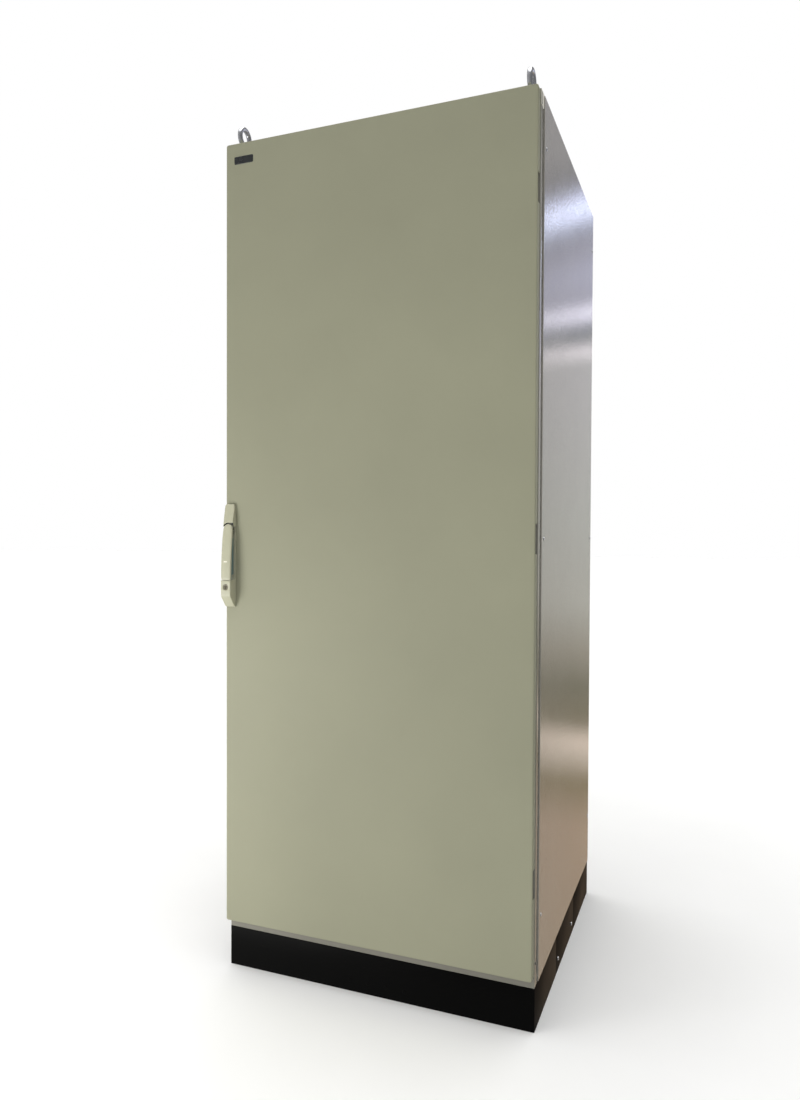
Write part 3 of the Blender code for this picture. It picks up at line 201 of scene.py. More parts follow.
def laminated(name, colour):
    """Stacked core sheets under varnish: fine lines along the stack's depth."""
    n = Nodes(bpy.data.materials.new(name))
    lines = n.noise(900, 1, (0.02, 1, 0.02))
    return n.surface(
        n.shades(lines, colour, 0.7, 1.35),
        n.remap(n.noise(30, 3), 0.38, 0.55),
        n.bump(lines, 0.35, 0.0006),
        metallic=0.4,
    )


def wound(name, colour):
    """Varnished tape over a winding: bands round the coil, a little uneven."""
    n = Nodes(bpy.data.materials.new(name))
    bands = n.noise(150, 1, (0.05, 0.05, 1))
    return n.surface(
        n.shades(bands, colour, 0.75, 1.2, 0.35, 0.65),
        n.remap(n.noise(70, 3), 0.4, 0.62),
        n.bump(bands, 0.5, 0.0012),
    )


def foam(name, colour):
    n = Nodes(bpy.data.materials.new(name))
    pores = n.cells(1400, "Distance")
    return n.surface(
        n.shades(pores, colour, 0.5, 1.4, 0.1, 0.6),
        n.remap(n.noise(200), 0.85, 0.97),
        n.bump(pores, 0.4, 0.0005),
    )


GLOSS = {"peel_scale": 170, "specular": 0.6}
FINISH = {
    "door_paint": powder_coat("door_powder_coat", (0.29, 0.29, 0.205), 0.58, 0.1, specular=0.25),
    "panel_paint": powder_coat("panel_powder_coat", (0.25, 0.236, 0.208), 0.085, 0.6, **GLOSS),
    "plinth_paint": powder_coat("plinth_powder_coat", (0.0022, 0.0022, 0.002), 0.48, 0.2, specular=0.06),
    "handle_plastic": moulded("handle_plastic", (0.42, 0.415, 0.3)),
    "galvanised_steel": galvanised("galvanised_sheet", (0.55, 0.56, 0.57)),
    "zinc_plate": plated("zinc_plate", (0.62, 0.63, 0.66)),
    "dark_plastic": moulded("dark_plastic", (0.03, 0.031, 0.034), 0.45),
    "drive_shell": moulded("drive_shell", (0.085, 0.09, 0.098), 0.48),
    "aluminium": plated("aluminium_extrusion", (0.7, 0.71, 0.73), 0.36, 0.12),
    "copper": plated("copper_bar", (0.72, 0.38, 0.24), 0.3, 0.1),
    "circuit_board": moulded("solder_mask", (0.015, 0.11, 0.045), 0.32, 0.04, 0.12),
    "capacitor_can": moulded("capacitor_sleeve", (0.018, 0.024, 0.045), 0.28, 0.03),
    "core_steel": laminated("core_sheets", (0.1, 0.095, 0.09)),
    "coil_wrap": wound("winding_tape", (0.42, 0.3, 0.13)),
    "foam_seal": foam("foam_seal", (0.035, 0.035, 0.036)),
    "start_key": moulded("start_key", (0.03, 0.26, 0.07), 0.38),
    "stop_key": moulded("stop_key", (0.42, 0.03, 0.02), 0.38),
}
INLAY = moulded("handle_inlay", (0.19, 0.265, 0.245), 0.35)
MARKER = moulded("marker_white", (0.72, 0.7, 0.6), 0.35)
# The frame wears the door's paint, drawn darker than the door: painted shade for the frame strip behind the door's
# edge.
SHADED_FRAME_PAINT = powder_coat("frame_powder_coat_painted_shade", (0.215, 0.208, 0.175), 0.15, 0.5, **GLOSS)
LOCK_METAL = moulded("lock_insert_plastic", (0.185, 0.17, 0.115), 0.45, 0.1)
ENAMEL = moulded("graphite_plate", (0.02, 0.022, 0.023), 0.25, 0.02)
DUCT = moulded("duct_grey", (0.36, 0.37, 0.37), 0.5)
PALE_GREY = moulded("pale_grey", (0.5, 0.51, 0.5), 0.42)
GLASS = moulded("display_glass", (0.02, 0.035, 0.03), 0.08, 0)
FILTER = foam("filter_mat", (0.4, 0.4, 0.38))


# ---- Mesh helpers ----

STOOD_FOR = set()


def placed(name, data):
    obj = bpy.data.objects.new(name, data)
    bpy.context.scene.collection.objects.link(obj)
    return obj


def to_mesh(name, bm):
    """Turns a bmesh into a mesh, and frees it."""
    mesh = bpy.data.meshes.new(name)
    bm.to_mesh(mesh)
    bm.free()
    return mesh


def piece(name, bm, finish, body="cabinet", smooth=35, stands_for=None):
    """Makes an object of the bmesh, with a finish, riding on a body."""
    bmesh.ops.recalc_face_normals(bm, faces=bm.faces)
    obj = placed(name, to_mesh(name, bm))
    reshade(obj, smooth)
    obj.data.materials.append(FINISH[finish] if isinstance(finish, str) else finish)
    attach(obj, body)
    if stands_for:
        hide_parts(stands_for)
        STOOD_FOR.add(stands_for)
    return obj


def reshade(obj, angle):
    obj.data.shade_smooth()
    obj.data.set_sharp_from_angle(angle=radians(angle))


def fresh(count):
    return [bmesh.new() for _ in range(count)]


def merge(bm, other):
    """Adds another bmesh's faces to this one."""
    mesh = to_mesh("part", other)
    bm.from_mesh(mesh)
    bpy.data.meshes.remove(mesh)


def span(node):
    """A node's lowest corner, highest corner and middle."""
    low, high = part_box(node)
    return low, high, (low + high) / 2


def box_into(bm, corner, opposite):
    size = [abs(b - a) for a, b in zip(corner, opposite)]
    middle = Vector([(a + b) / 2 for a, b in zip(corner, opposite)])
    place = Matrix.Translation(middle) @ Matrix.Diagonal((*size, 1))
    bmesh.ops.create_cube(bm, size=1, matrix=place)


def soft_box(bm, low, high, width=0.0015, segments=2):
    """A box with rounded edges."""
    part = bmesh.new()
    box_into(part, low, high)
    bevel(part, part.edges[:], width, segments)
    merge(bm, part)


def slab(name, finish, corner, opposite, width, body="cabinet"):
    """A piece that is one box with rounded edges."""
    bm = bmesh.new()
    soft_box(bm, corner, opposite, width)
    piece(name, bm, finish, body)


def bevel(bm, edges, width, segments):
    bmesh.ops.bevel(
        bm, geom=edges, offset=width, segments=segments, profile=0.5, affect="EDGES", clamp_overlap=True
    )


TO_AXIS = {
    "X": Matrix(((0, 0, 1, 0), (1, 0, 0, 0), (0, 1, 0, 0), (0, 0, 0, 1))),
    "-Y": Matrix(((1, 0, 0, 0), (0, 0, -1, 0), (0, 1, 0, 0), (0, 0, 0, 1))),
    "Y": Matrix(((-1, 0, 0, 0), (0, 0, 1, 0), (0, 1, 0, 0), (0, 0, 0, 1))),
    "-X": Matrix(((0, 0, -1, 0), (-1, 0, 0, 0), (0, 1, 0, 0), (0, 0, 0, 1))),
    "Z": Matrix.Identity(4),
}


def put_into(bm, part, place, axis):
    """Adds a part that was built along +Z, turned to an axis and moved to its place."""
    bmesh.ops.transform(part, matrix=Matrix.Translation(place) @ TO_AXIS[axis], verts=part.verts)
    merge(bm, part)


def lathe_into(bm, profile, place, steps, axis="-Y"):
    """Turns (radius, height) points about an axis through place. Heights run along the axis."""
    part = bmesh.new()
    row = [part.verts.new((radius, 0, height)) for radius, height in profile]
    edges = [part.edges.new(pair) for pair in zip(row, row[1:])]
    bmesh.ops.spin(part, geom=row + edges, axis=(0, 0, 1), cent=(0, 0, 0), steps=steps, angle=2 * pi)
    bmesh.ops.remove_doubles(part, verts=part.verts, dist=1e-6)
    put_into(bm, part, place, axis)


def rod(radius, low, high):
    """The profile of a plain round rod between two heights."""
    return [(0, low), (radius, low), (radius, high), (0, high)]


def screw_into(bm, place, radius, height, axis="-Y"):
    """A low round screw head with a shallow recess."""
    shape = ((0, 0.35), (0.34, 0.35), (0.4, 0.95), (0.7, 1), (0.94, 0.62), (1, 0.15))
    profile = [(radius * out, height * up) for out, up in shape] + [(radius, -0.0005)]
    lathe_into(bm, profile, place, 18, axis)


def screw_row(name, places, radius, height, axis="-Y"):
    bm = bmesh.new()
    for place in places:
        screw_into(bm, place, radius, height, axis)
    piece(name, bm, "zinc_plate")


def hex_into(bm, place, across, height, axis="-Y"):
    """A hexagon head with a chamfered crown on a washer."""
    part = bmesh.new()
    washer = 0.0012
    rim = [(0, 0), (across * 0.72, 0), (across * 0.72, washer), (across * 0.3, washer)]
    lathe_into(part, rim, (0, 0, 0), 20, "Z")
    radius = across / sqrt(3)
    loops = []
    for reach, z in ((radius, washer), (radius, washer + height * 0.8), (radius * 0.86, washer + height)):
        corners = [pi / 3 * index for index in range(6)]
        loops.append([(reach * cos(angle), reach * sin(angle), z) for angle in corners])
    loft(part, loops)
    put_into(bm, part, place, axis)


def ring_points(half_u, half_v, radius, steps=6):
    """A rectangle with rounded corners, as (u, v) points."""
    points = []
    radius = max(radius, 1e-5)
    for corner, (su, sv) in enumerate(((1, 1), (-1, 1), (-1, -1), (1, -1))):
        for index in range(steps + 1):
            angle = pi / 2 * (corner + index / steps)
            u = su * (half_u - radius) + radius * cos(angle)
            points.append((u, sv * (half_v - radius) + radius * sin(angle)))
    return points


def loft(bm, loops, closed=True):
    """Skins a row of loops of equal length, with caps at both ends where closed."""
    rows = [[bm.verts.new(point) for point in loop] for loop in loops]
    count = len(rows[0])
    for first, second in zip(rows, rows[1:]):
        for index in range(count):
            after = (index + 1) % count
            bm.faces.new((first[index], first[after], second[after], second[index]))
    if closed:
        bm.faces.new(rows[0])
        bm.faces.new(rows[-1])


def lofted(loops):
    bm = bmesh.new()
    loft(bm, loops)
    return bm


def lofted_round(loops):
    """Skins a row of loops that comes back to its start."""
    bm = bmesh.new()
    loft(bm, loops + loops[:1], closed=False)
    bmesh.ops.remove_doubles(bm, verts=bm.verts, dist=1e-6)
    return bm


def outline_solid(points, x_low, x_high):
    """A (y, z) outline given width along X."""
    bm = lofted([[(x, y, z) for y, z in points] for x in (x_low, x_high)])
    bmesh.ops.recalc_face_normals(bm, faces=bm.faces)
    return bm


def folded_pan(node, out, wall, fold, corner):
    """A node's upright sheet pan: a flat face that looks along out, rounded folds, and returns behind it."""
    low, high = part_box(node)
    size, out = high - low, Vector(out)
    right, up = Vector((abs(out.y), abs(out.x), 0)), Vector((0, 0, 1))
    depth, half_u, half_v = abs(size.dot(out)), size.dot(right) / 2, size.z / 2
    middle = (low + high + out * depth) / 2
    levels = [(fold + 0.004, 0)]
    for index in range(6):
        angle = pi / 10 * index
        levels.append((fold * (1 - sin(angle)), fold * (1 - cos(angle))))
    edge = 0.0004
    levels += [(0, depth - edge), (edge, depth), (wall - edge, depth), (wall, depth - edge)]
    levels += [(wall, wall + 0.001), (wall + 0.001, wall), (wall + 0.006, wall)]
    loops = []
    for inset, back in levels:
        ring = ring_points(half_u - inset, half_v - inset, corner - inset)
        loops.append([middle + right * u + up * v - out * back for u, v in ring])
    return lofted(loops)


def bake_modifiers(obj, kind, **settings):
    """Applies one modifier to an object's mesh."""
    step = obj.modifiers.new("step", kind)
    for key, value in settings.items():
        setattr(step, key, value)
    graph = bpy.context.evaluated_depsgraph_get()
    old = obj.data
    obj.data = bpy.data.meshes.new_from_object(obj.evaluated_get(graph))
    obj.modifiers.clear()
    bpy.data.meshes.remove(old)


def apply_cut(obj, bm_cutter):
    """Cuts the closed shapes of a bmesh out of an object."""
    bmesh.ops.recalc_face_normals(bm_cutter, faces=bm_cutter.faces)
    cutter = placed("cutter", to_mesh("cutter", bm_cutter))
    bake_modifiers(obj, "BOOLEAN", operation="DIFFERENCE", solver="EXACT", object=cutter)
    bpy.data.meshes.remove(cutter.data)


def rounded(obj, width, angle):
    limit = radians(angle)
    bake_modifiers(obj, "BEVEL", width=width, segments=2, limit_method="ANGLE", angle_limit=limit)


def holes(places, half_x, half_y, half_z):
    bm = bmesh.new()
    half = Vector((half_x, half_y, half_z))
    for place in places:
        box_into(bm, Vector(place) - half, Vector(place) + half)
    return bm


def steps_between(low, high, inset, pitch):
    """Places at a pitch, centred in what an inset leaves of a stretch."""
    count = int((high - low - 2 * inset) / pitch)
    first = (low + high - count * pitch) / 2
    return [first + index * pitch for index in range(count + 1)]


EDGE_WIDTHS = {
    "door_paint": 0.0005, "panel_paint": 0.0005, "plinth_paint": 0.0008, "galvanised_steel": 0.0003,
    "zinc_plate": 0.0004, "aluminium": 0.0002, "copper": 0.0008, "circuit_board": 0.0002,
    "capacitor_can": 0.0016, "core_steel": 0.0008, "coil_wrap": 0.002, "foam_seal": 0.002,
}


def skin_of(node, cutter=None, width=None):
    """A finer copy of a CAD node: flat faces cleaned up, detail cut in, edges rounded."""
    slot = SLOT_OF[node]
    bm = bmesh.new()
    bm.from_mesh(frame["nodes"][node].data)
    bmesh.ops.remove_doubles(bm, verts=bm.verts, dist=2e-6)
    bmesh.ops.dissolve_limit(bm, angle_limit=radians(0.5), verts=bm.verts, edges=bm.edges)
    # Frame nodes get the darker frame paint, which is painted shade.
    in_frame = node.startswith(("post_", "top_frame", "bottom_frame"))
    skin = piece(f"{node}_skin", bm, SHADED_FRAME_PAINT if in_frame else slot, BODY_OF[node], stands_for=node)
    if cutter:
        apply_cut(skin, cutter)
    width = EDGE_WIDTHS.get(slot, 0.0012) if width is None else width
    if width:
        rounded(skin, width, 50)
    reshade(skin, 40)


# ---- Door and panels ----


def make_door():
    """The folded door, with notches at its edge for the hinges."""
    bm = folded_pan("door_panel", (0, -1, 0), 0.002, 0.0024, 0.0055)
    door = piece("door_skin", bm, "door_paint", "door", stands_for="door_panel")
    cutter = bmesh.new()
    for place in ("lower", "middle", "upper"):
        leaf_low, leaf_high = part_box(f"hinge_leaf_{place}")
        near = (DOOR_HIGH.x - 0.0026, FACE_Y + 0.0038, leaf_low.z - 0.0008)
        box_into(cutter, near, (DOOR_HIGH.x + 0.01, DOOR_HIGH.y + 0.01, leaf_high.z + 0.0008))
    apply_cut(door, cutter)
    reshade(door, 35)


def make_side_panels():
    """Each side's folded panel, with screws near its front and rear edges."""
    rows = []
    for hand, side, axis in SIDES:
        node = f"side_panel_{hand}"
        low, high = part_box(node)
        bm = folded_pan(node, (side, 0, 0), 0.0015, 0.002, 0.004)
        piece(f"side_skin_{hand}", bm, "panel_paint", stands_for=node)
        outer = (high.x if side > 0 else low.x) - 0.0002
        places = product([outer], (low.y + 0.0245, high.y - 0.012), (0.245, 1.11, 1.99))
        rows.append((f"side_screws_{hand}", places, axis))
    for name, places, axis in rows:
        screw_row(name, places, 0.0048, 0.0016, axis)


def make_plinth_fittings():
    """Trim screws on both sides, and four plugged holes in the front."""
    bm = bmesh.new()
    for hand, side, axis in SIDES:
        low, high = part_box(f"plinth_trim_{hand}")
        outer = (high.x if side > 0 else low.x) - 0.0002
        for y in (low.y + 0.026, high.y - 0.03):
            screw_into(bm, (outer, y, 0.03), 0.0052, 0.0022, axis)
    piece("plinth_trim_screws", bm, "zinc_plate")
    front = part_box("plinth_front")[0].y + 0.0002
    bm = bmesh.new()
    pitch, first = 0.0475, -0.058
    plug = [(0, 0.0007), (0.0042, 0.0007), (0.005, 0), (0.005, -0.001)]
    for index in range(4):
        lathe_into(bm, plug, (first + index * pitch, front, 0.027), 20)
    piece("plinth_plugs", bm, "plinth_paint")


def make_corner_caps():
    """A pale slotted cap at each upper front corner of the frame, and a plug at each lower one. Each cap is a
    corner piece of the frame, and its pale colour is a painted highlight.
    """
    low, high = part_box("top_frame")
    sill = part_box("bottom_frame")[1].z
    highlight_caps, marks = fresh(2)
    dot = [(0, 0.0014), (0.0022, 0.0014), (0.0026, 0.0008), (0.0026, -0.0004)]
    for _, side, axis in SIDES:
        x = side * high.x
        for bm, reach, y_from, y_to, z_from, z_to in (
            (highlight_caps, 0.0008, 0.0006, 0.0292, -0.0325, -0.0006),
            (marks, 0.0011, 0.006, 0.0095, -0.027, -0.005),
        ):
            corner = (x - side * 0.0006, low.y + y_from, high.z + z_from)
            soft_box(bm, corner, (x + side * reach, low.y + y_to, high.z + z_to), 0.0003)
        for z in (high.z - 0.029, sill + 0.004):
            lathe_into(marks, dot, (x, low.y + 0.0078, z), 16, axis)
    # The pale colour of each cap is a painted highlight on the corner piece.
    piece("corner_caps_painted_highlight", highlight_caps, MARKER)
    piece("corner_marks", marks, "dark_plastic")


def make_eyebolts():
    """Forged rings, a little thicker at the foot, on turned collars."""
    bar, ring = 0.0062, 0.0215
    around, across = 56, 20
    collar = [
        (0, 0.012), (0.0062, 0.0118), (0.0088, 0.01), (0.01, 0.0082), (0.012, 0.007),
        (0.015, 0.0064), (0.0155, 0.0058), (0.0155, 0.0008), (0.015, 0), (0.006, 0),
        (0.006, -0.022), (0, -0.022),
    ]
    for name in sorted(node for node in frame["nodes"] if node.startswith("eyebolt")):
        _, high, mid = span(name)
        x, y = mid.x, mid.y
        centre = Vector((x, y, high.z - ring - bar))
        loops = []
        for i in range(around):
            angle = 2 * pi * i / around
            thick = bar * (1 + 0.1 * max(0, -sin(angle)) ** 3)
            loop = []
            for j in range(across):
                turn = 2 * pi * j / across
                reach = ring + thick * cos(turn)
                spot = (thick * 0.98 * sin(turn), reach * cos(angle), reach * sin(angle))
                loop.append(centre + Vector(spot))
            loops.append(loop)
        bm = lofted_round(loops)
        lathe_into(bm, collar, (x, y, TOP_Z + SMALL), 40, "Z")
        piece(name.replace("eyebolt", "lifting_eye"), bm, "zinc_plate", stands_for=name)


# ---- Handle ----


def bow(z):
    """How far the handle's outer surface stands off the door at this height."""
    share = max(0, (BOW_LENGTH - HANDLE_TOP + z) / BOW_LENGTH)
    return HANDLE_PROUD - (HANDLE_PROUD - CAP_PROUD) * share**2


def at(x, proud, z):
    """A point in handle coordinates: right of the turn axis, out from the door, above the turn axis."""
    return (HANDLE_X + x, FACE_Y - proud, TURN_AT.z + z)


def corner_prism(x, side, radius):
    """What a rounded upper corner leaves out of the housing at x, in handle coordinates."""
    points = [(x + side * 0.002, 0.002), (x + side * 0.002, -radius)]
    for index in range(7):
        angle = pi / 2 * index / 6
        points.append((x - side * radius * (1 - cos(angle)), -radius * (1 - sin(angle))))
    points.append((x - side * radius, 0.002))
    top = HANDLE_TOP - TURN_AT.z
    return lofted([[at(u, proud, top + v) for u, v in points] for proud in (0.06, -0.01)])


def shade_recess_walls(housing):
    """A thin dark sheet on the walls round the lever's head: painted shade in the recess."""
    bm = bmesh.new()
    bm.from_mesh(housing.data)
    spare = []
    for face in bm.faces:
        middle = face.calc_center_median()
        across, above, proud = middle.x - HANDLE_X, middle.z - TURN_AT.z, FACE_Y - middle.y
        in_head = hypot(across, above) < RECESS + 0.0003
        in_room = across > 0 and abs(above - 0.007) < 0.0082
        deep = 0.0024 < proud < bow(middle.z) - 0.0009 and abs(across) < HANDLE_HALF - 0.0006
        if not (deep and (in_head or in_room)):
            spare.append(face)
    bmesh.ops.delete(bm, geom=spare, context="FACES")
    # Painted shade: this dark sheet stands for the shade in the recess.
    recess_shade = piece("handle_recess_shade", bm, "dark_plastic", "door")
    bake_modifiers(recess_shade, "SOLIDIFY", thickness=0.0003, offset=0.6)


def housing_block():
    """The housing before its recesses: a bowed front that slopes back to the door at the foot."""
    back, foot = FACE_Y - SMALL, HANDLE_BOTTOM
    slope_top = foot + 0.029
    levels = [HANDLE_TOP + (slope_top + 0.004 - HANDLE_TOP) * index / 39 for index in range(40)]
    outline = [(FACE_Y - bow(z), z) for z in levels]
    outline += [
        (FACE_Y - HANDLE_PROUD * 0.985, slope_top), (FACE_Y - HANDLE_PROUD * 0.9, slope_top - 0.005),
        (FACE_Y - 0.01, foot + 0.007), (FACE_Y - 0.006, foot + 0.002), (FACE_Y - 0.003, foot),
        (back, foot), (back, HANDLE_TOP),
    ]
    bm = outline_solid(outline, HANDLE_X - HANDLE_HALF, HANDLE_X + HANDLE_HALF)
    side_edges = []
    for edge in bm.edges:
        start, end = (vert.co for vert in edge.verts)
        if abs(start.x - end.x) < 1e-7 and max(start.y, end.y) < back - 1e-5:
            side_edges.append(edge)
    bevel(bm, side_edges, 0.003, 5)
    return bm


def sweep_window():
    """The room that the lever's end sweeps through, with a fillet round its floor."""
    side = HANDLE_HALF + 0.01
    loops = []
    for step in range(8):
        angle = pi / 2 * min(step, 6) / 6
        reach = LEVER_LENGTH + 0.0008 - WINDOW_FILLET * (1 - sin(angle))
        proud = 0.0045 + WINDOW_FILLET * (1 - cos(angle)) + (0.03 if step == 7 else 0)
        swing = asin(side / reach)
        arc = [-swing + 2 * swing * index / 12 for index in range(13)]
        points = [(reach * sin(a), -reach * cos(a)) for a in arc] + [(side, 0), (-side, 0)]
        loops.append([at(x, proud, z) for x, z in points])
    return lofted(loops)


def make_handle_housing():
    half, foot = HANDLE_HALF, -LEVER_LENGTH
    housing = piece("handle_foot", housing_block(), "handle_plastic", "door", stands_for="handle_housing")
    swing_room, corners, recess, bore, finger = fresh(5)
    box_into(swing_room, at(0, 0.06, -0.001), at(half + 0.01, 0.0118, LEVER_HALF + 0.0006))
    for side in (-1, 1):
        merge(corners, corner_prism(side * half, side, 0.007))
    lathe_into(recess, rod(RECESS, 0.002, 0.06), at(0, 0, 0), 64)
    lathe_into(bore, rod(0.0079, 0.004, 0.06), (HANDLE_X, FACE_Y, LOCK_AT.z), 40)
    reach = half - 0.0022
    soft_box(finger, at(-reach, 0.03, foot + 0.01), at(reach, 0.0022, -0.0195), 0.0055, 4)
    for cutter in (sweep_window(), swing_room, corners, recess, bore, finger):
        apply_cut(housing, cutter)
    rounded(housing, 0.0004, 45)
    reshade(housing, 30)
    shade_recess_walls(housing)
    bm = bmesh.new()
    box_into(bm, at(0.003 - half, 0.0026, foot + 0.013), at(half - 0.003, 0.0023, -0.0225))
    piece("handle_inlay", bm, INLAY, "door")


def lever_half_width(z):
    """Half the lever's width: a round head, then a straight grip."""
    head = LEVER_HIGH.z - TURN_AT.z
    above = z - TURN_AT.z
    if above > 0:
        return sqrt(max(head**2 - above**2, 1e-8))
    return min(LEVER_HALF, head + (LEVER_HALF - head) * min(1, -above / 0.02))


def lever_layer(z_from, z_to, front, back, inset):
    """A layer of the lever between two depths behind its bowed, crowned front."""
    loops = []
    count, across = 44, 16
    for index in range(count):
        z = z_from + (z_to - z_from) * index / (count - 1)
        width = lever_half_width(z) - inset
        near_end = min(1, index / 2, (count - 1 - index) / 1.5)
        tuck = (1 - near_end) * 0.0007
        thick = 0.0038 + 0.0045 * min(1, max(0, (TURN_AT.z + 0.01 - z) / 0.05))
        loop = []
        for step in range(2 * across + 2):
            turned = step > across
            s = 1 - 2 * (step - across - 1) / across if turned else 2 * step / across - 1
            depth = min(back, thick) - tuck if turned else front + tuck
            fall = 0.0012 * s * s + 0.0014 * s**6 if not turned or back < 0.003 else 0
            x = HANDLE_X + (width - tuck) * sin(s * pi / 2)
            loop.append((x, FACE_Y - bow(z) + depth + fall, z))
        loops.append(loop)
    return lofted(loops)


def make_handle_lever():
    """A pale front shell on a darker liner, ears on the turn axis under the head, a dark layer behind the head
    that is painted shade, and a white mark.
    """
    z_top, z_low = LEVER_HIGH.z - 0.00004, LEVER_LOW.z + 0.0009
    split = TURN_AT.z - 0.015
    behind_shell = (0.0021, 0.008, 0.0007)
    shell = lever_layer(z_top, z_low, 0, 0.0022, 0)
    liner = lever_layer(split, z_low + 0.0006, *behind_shell)
    # The dark layer behind the head is painted shade. The ears added to it below sit on the turn axis.
    pivot_and_shade = lever_layer(z_top - 0.0008, split + 0.0002, *behind_shell)
    piece("handle_grip", shell, "handle_plastic", "handle_lever", 40, stands_for="handle_lever")
    piece("handle_liner", liner, INLAY, "handle_lever", 40)
    for x in (-0.01, 0.007):
        near = TURN_AT + Vector((x, 0, 0))
        lathe_into(pivot_and_shade, rod(0.0034, 0, 0.003), near, 20, "X")
        box_into(pivot_and_shade, near - Vector((0, 0.0065, 0.0034)), near + Vector((0.003, 0, 0.0034)))
    piece("handle_pivot_and_shade", pivot_and_shade, "dark_plastic", "handle_lever", 40)
    z = -0.083
    proud = bow(TURN_AT.z + z)
    corner, opposite = at(-0.0058, proud + 0.0002, z - 0.0016), at(0.0042, proud - 0.0012, z + 0.0016)
    slab("handle_marker", MARKER, corner, opposite, 0.0003, "handle_lever")


def make_lock():
    """The lock insert: a chamfered plug with a recess that holds a double-bit pin."""
    low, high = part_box("lock_insert")
    radius = (high.x - low.x) / 2
    face = FACE_Y - low.y
    profile = [
        (0, face - 0.0024), (0.0014, face - 0.0024), (0.0018, face - 0.001), (0.0019, face - 0.003),
        (radius * 0.5, face - 0.003), (radius * 0.52, face - 0.0009), (radius * 0.58, face - 0.0002),
        (radius * 0.93, face), (radius, face - 0.0006), (radius, 0.0045), (0, 0.0045),
    ]
    bm = bmesh.new()
    centre = Vector((HANDLE_X, FACE_Y, LOCK_AT.z))
    lathe_into(bm, profile, centre, 40)
    for x in (-0.0034, 0.0012):
        corner = centre + Vector((x, 0.0012 - face, -0.0008))
        box_into(bm, corner, corner + Vector((0.0022, 0.0022, 0.0016)))
    piece("lock_plug", bm, LOCK_METAL, "lock_insert", stands_for="lock_insert")


def make_nameplate():
    """A blank graphite plate near the door's top left corner."""
    half_u, half_v = 0.027, 0.0095
    middle = Vector((DOOR_LOW.x + 0.024 + half_u, FACE_Y - 0.001, DOOR_HIGH.z - 0.034 - half_v))
    loops = []
    for inset, back in ((0.0013, 0), (0.0009, 0), (0.0003, 0.0002), (0, 0.0005), (0, 0.001)):
        ring = ring_points(half_u - inset, half_v - inset, 0.003 - inset)
        loops.append([middle + Vector((u, back, v)) for u, v in ring])
    piece("name_plate", lofted(loops), ENAMEL, "door")


# ---- Inside the cabinet ----


def make_posts():
    """The posts' webs and flanges carry rows of square fixing holes."""
    inner = RING_X - 0.001
    for hand, side, _ in SIDES:
        for end in ("front", "rear"):
            node = f"post_{end}_{hand}"
            low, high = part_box(node)
            levels = steps_between(low.z, high.z, 0.02, HOLE_PITCH)
            if end == "front":
                web_y, flange_x, flange_y = high.y - 0.018, inner - 0.026, low.y + 0.001
            else:
                web_y, flange_x, flange_y = high.y - 0.04, inner - 0.024, high.y - 0.001
            cutter = holes(product([side * inner], [web_y], levels), 0.004, 0.0045, 0.0045)
            merge(cutter, holes(product([side * flange_x], [flange_y], levels), 0.0045, 0.004, 0.0045))
            skin_of(node, cutter)


def make_plate():
    """The mounting plate with its rim, on six brackets from the rear posts."""
    skin_of("mounting_plate", width=0.0008)
    bm, bolts = fresh(2)
    for side, z in product((-1, 1), (0.3, 1.1, 1.9)):
        near, far = side * (PLATE_HIGH.x - 0.0006), side * (RING_X - 0.0026)
        soft_box(bm, (near, PLATE_HIGH.y - 0.01, z - 0.02), (far, PLATE_HIGH.y + 0.012, z + 0.02))
        hex_into(bolts, (side * (PLATE_HIGH.x - 0.014), PLATE_Y, z), *BOLT)
    piece("plate_brackets", bm, "galvanised_steel")
    piece("plate_bolts", bolts, "zinc_plate")


def mirrored(half, y, z):
    """An outline of its upper half and its mirror image, about height z."""
    return [(y + out, z + rise) for out, rise in half] + [(y + out, z - rise) for out, rise in reversed(half)]


def make_rail():
    low, high, mid = span("terminal_block")
    half = [
        (0, 0.0125), (-0.0065, 0.0125), (-0.0065, 0.0175),
        (-0.0075, 0.0175), (-0.0075, 0.0115), (-0.001, 0.0115),
    ]
    bm = outline_solid(mirrored(half, PLATE_Y, mid.z), low.x - 0.018, high.x + 0.018)
    for x in (low.x - 0.01, high.x + 0.01):
        screw_into(bm, (x, PLATE_Y - 0.001, mid.z), 0.0045, 0.003)
    piece("terminal_rail", bm, "zinc_plate")


def make_terminals():
    """A row of separate terminals, each with two screws, two wire entries and a marker strip."""
    low, high, mid = span("terminal_block")
    z, back = mid.z, high.y
    count = 22
    pitch = (high.x - low.x) / count
    half = [
        (0, 0.0185), (0, 0.0295), (-0.029, 0.0295),
        (-0.0395, 0.0225), (-0.0405, 0.0125), (-0.0515, 0.0115),
    ]
    outline = mirrored(half, back, z) + [(back - 0.0085, z - 0.0185), (back - 0.0085, z + 0.0185)]
    funnel = [(0, 0.0002), (0.0022, 0.0002), (0.0026, 0.0009), (0.003, 0)]
    bodies, screws, entries = fresh(3)
    for index in range(count):
        left = low.x + index * pitch
        merge(bodies, outline_solid(outline, left + 0.00025, left + pitch - 0.00025))
        if index in (0, count - 1):
            continue
        x = left + pitch / 2
        for side in (-1, 1):
            screw_into(screws, (x, back - 0.0403, z + side * 0.0175), 0.003, 0.001)
            entry = Matrix.Translation((x, back - 0.034, z + side * 0.0262))
            lip = bmesh.new()
            lathe_into(lip, funnel, (0, 0, 0), 14)
            turn = Matrix.Rotation(side * radians(56), 4, "X")
            bmesh.ops.transform(lip, matrix=entry @ turn, verts=lip.verts)
            merge(entries, lip)
    piece("terminal_row", bodies, "handle_plastic", smooth=20, stands_for="terminal_block")
    piece("terminal_screws", screws, "zinc_plate")
    piece("terminal_entries", entries, "dark_plastic")
    corner = (low.x + pitch, back - 0.0519, z - 0.0045)
    slab("terminal_tags", MARKER, corner, (high.x - pitch, back - 0.0512, z + 0.0045), 0.0003)


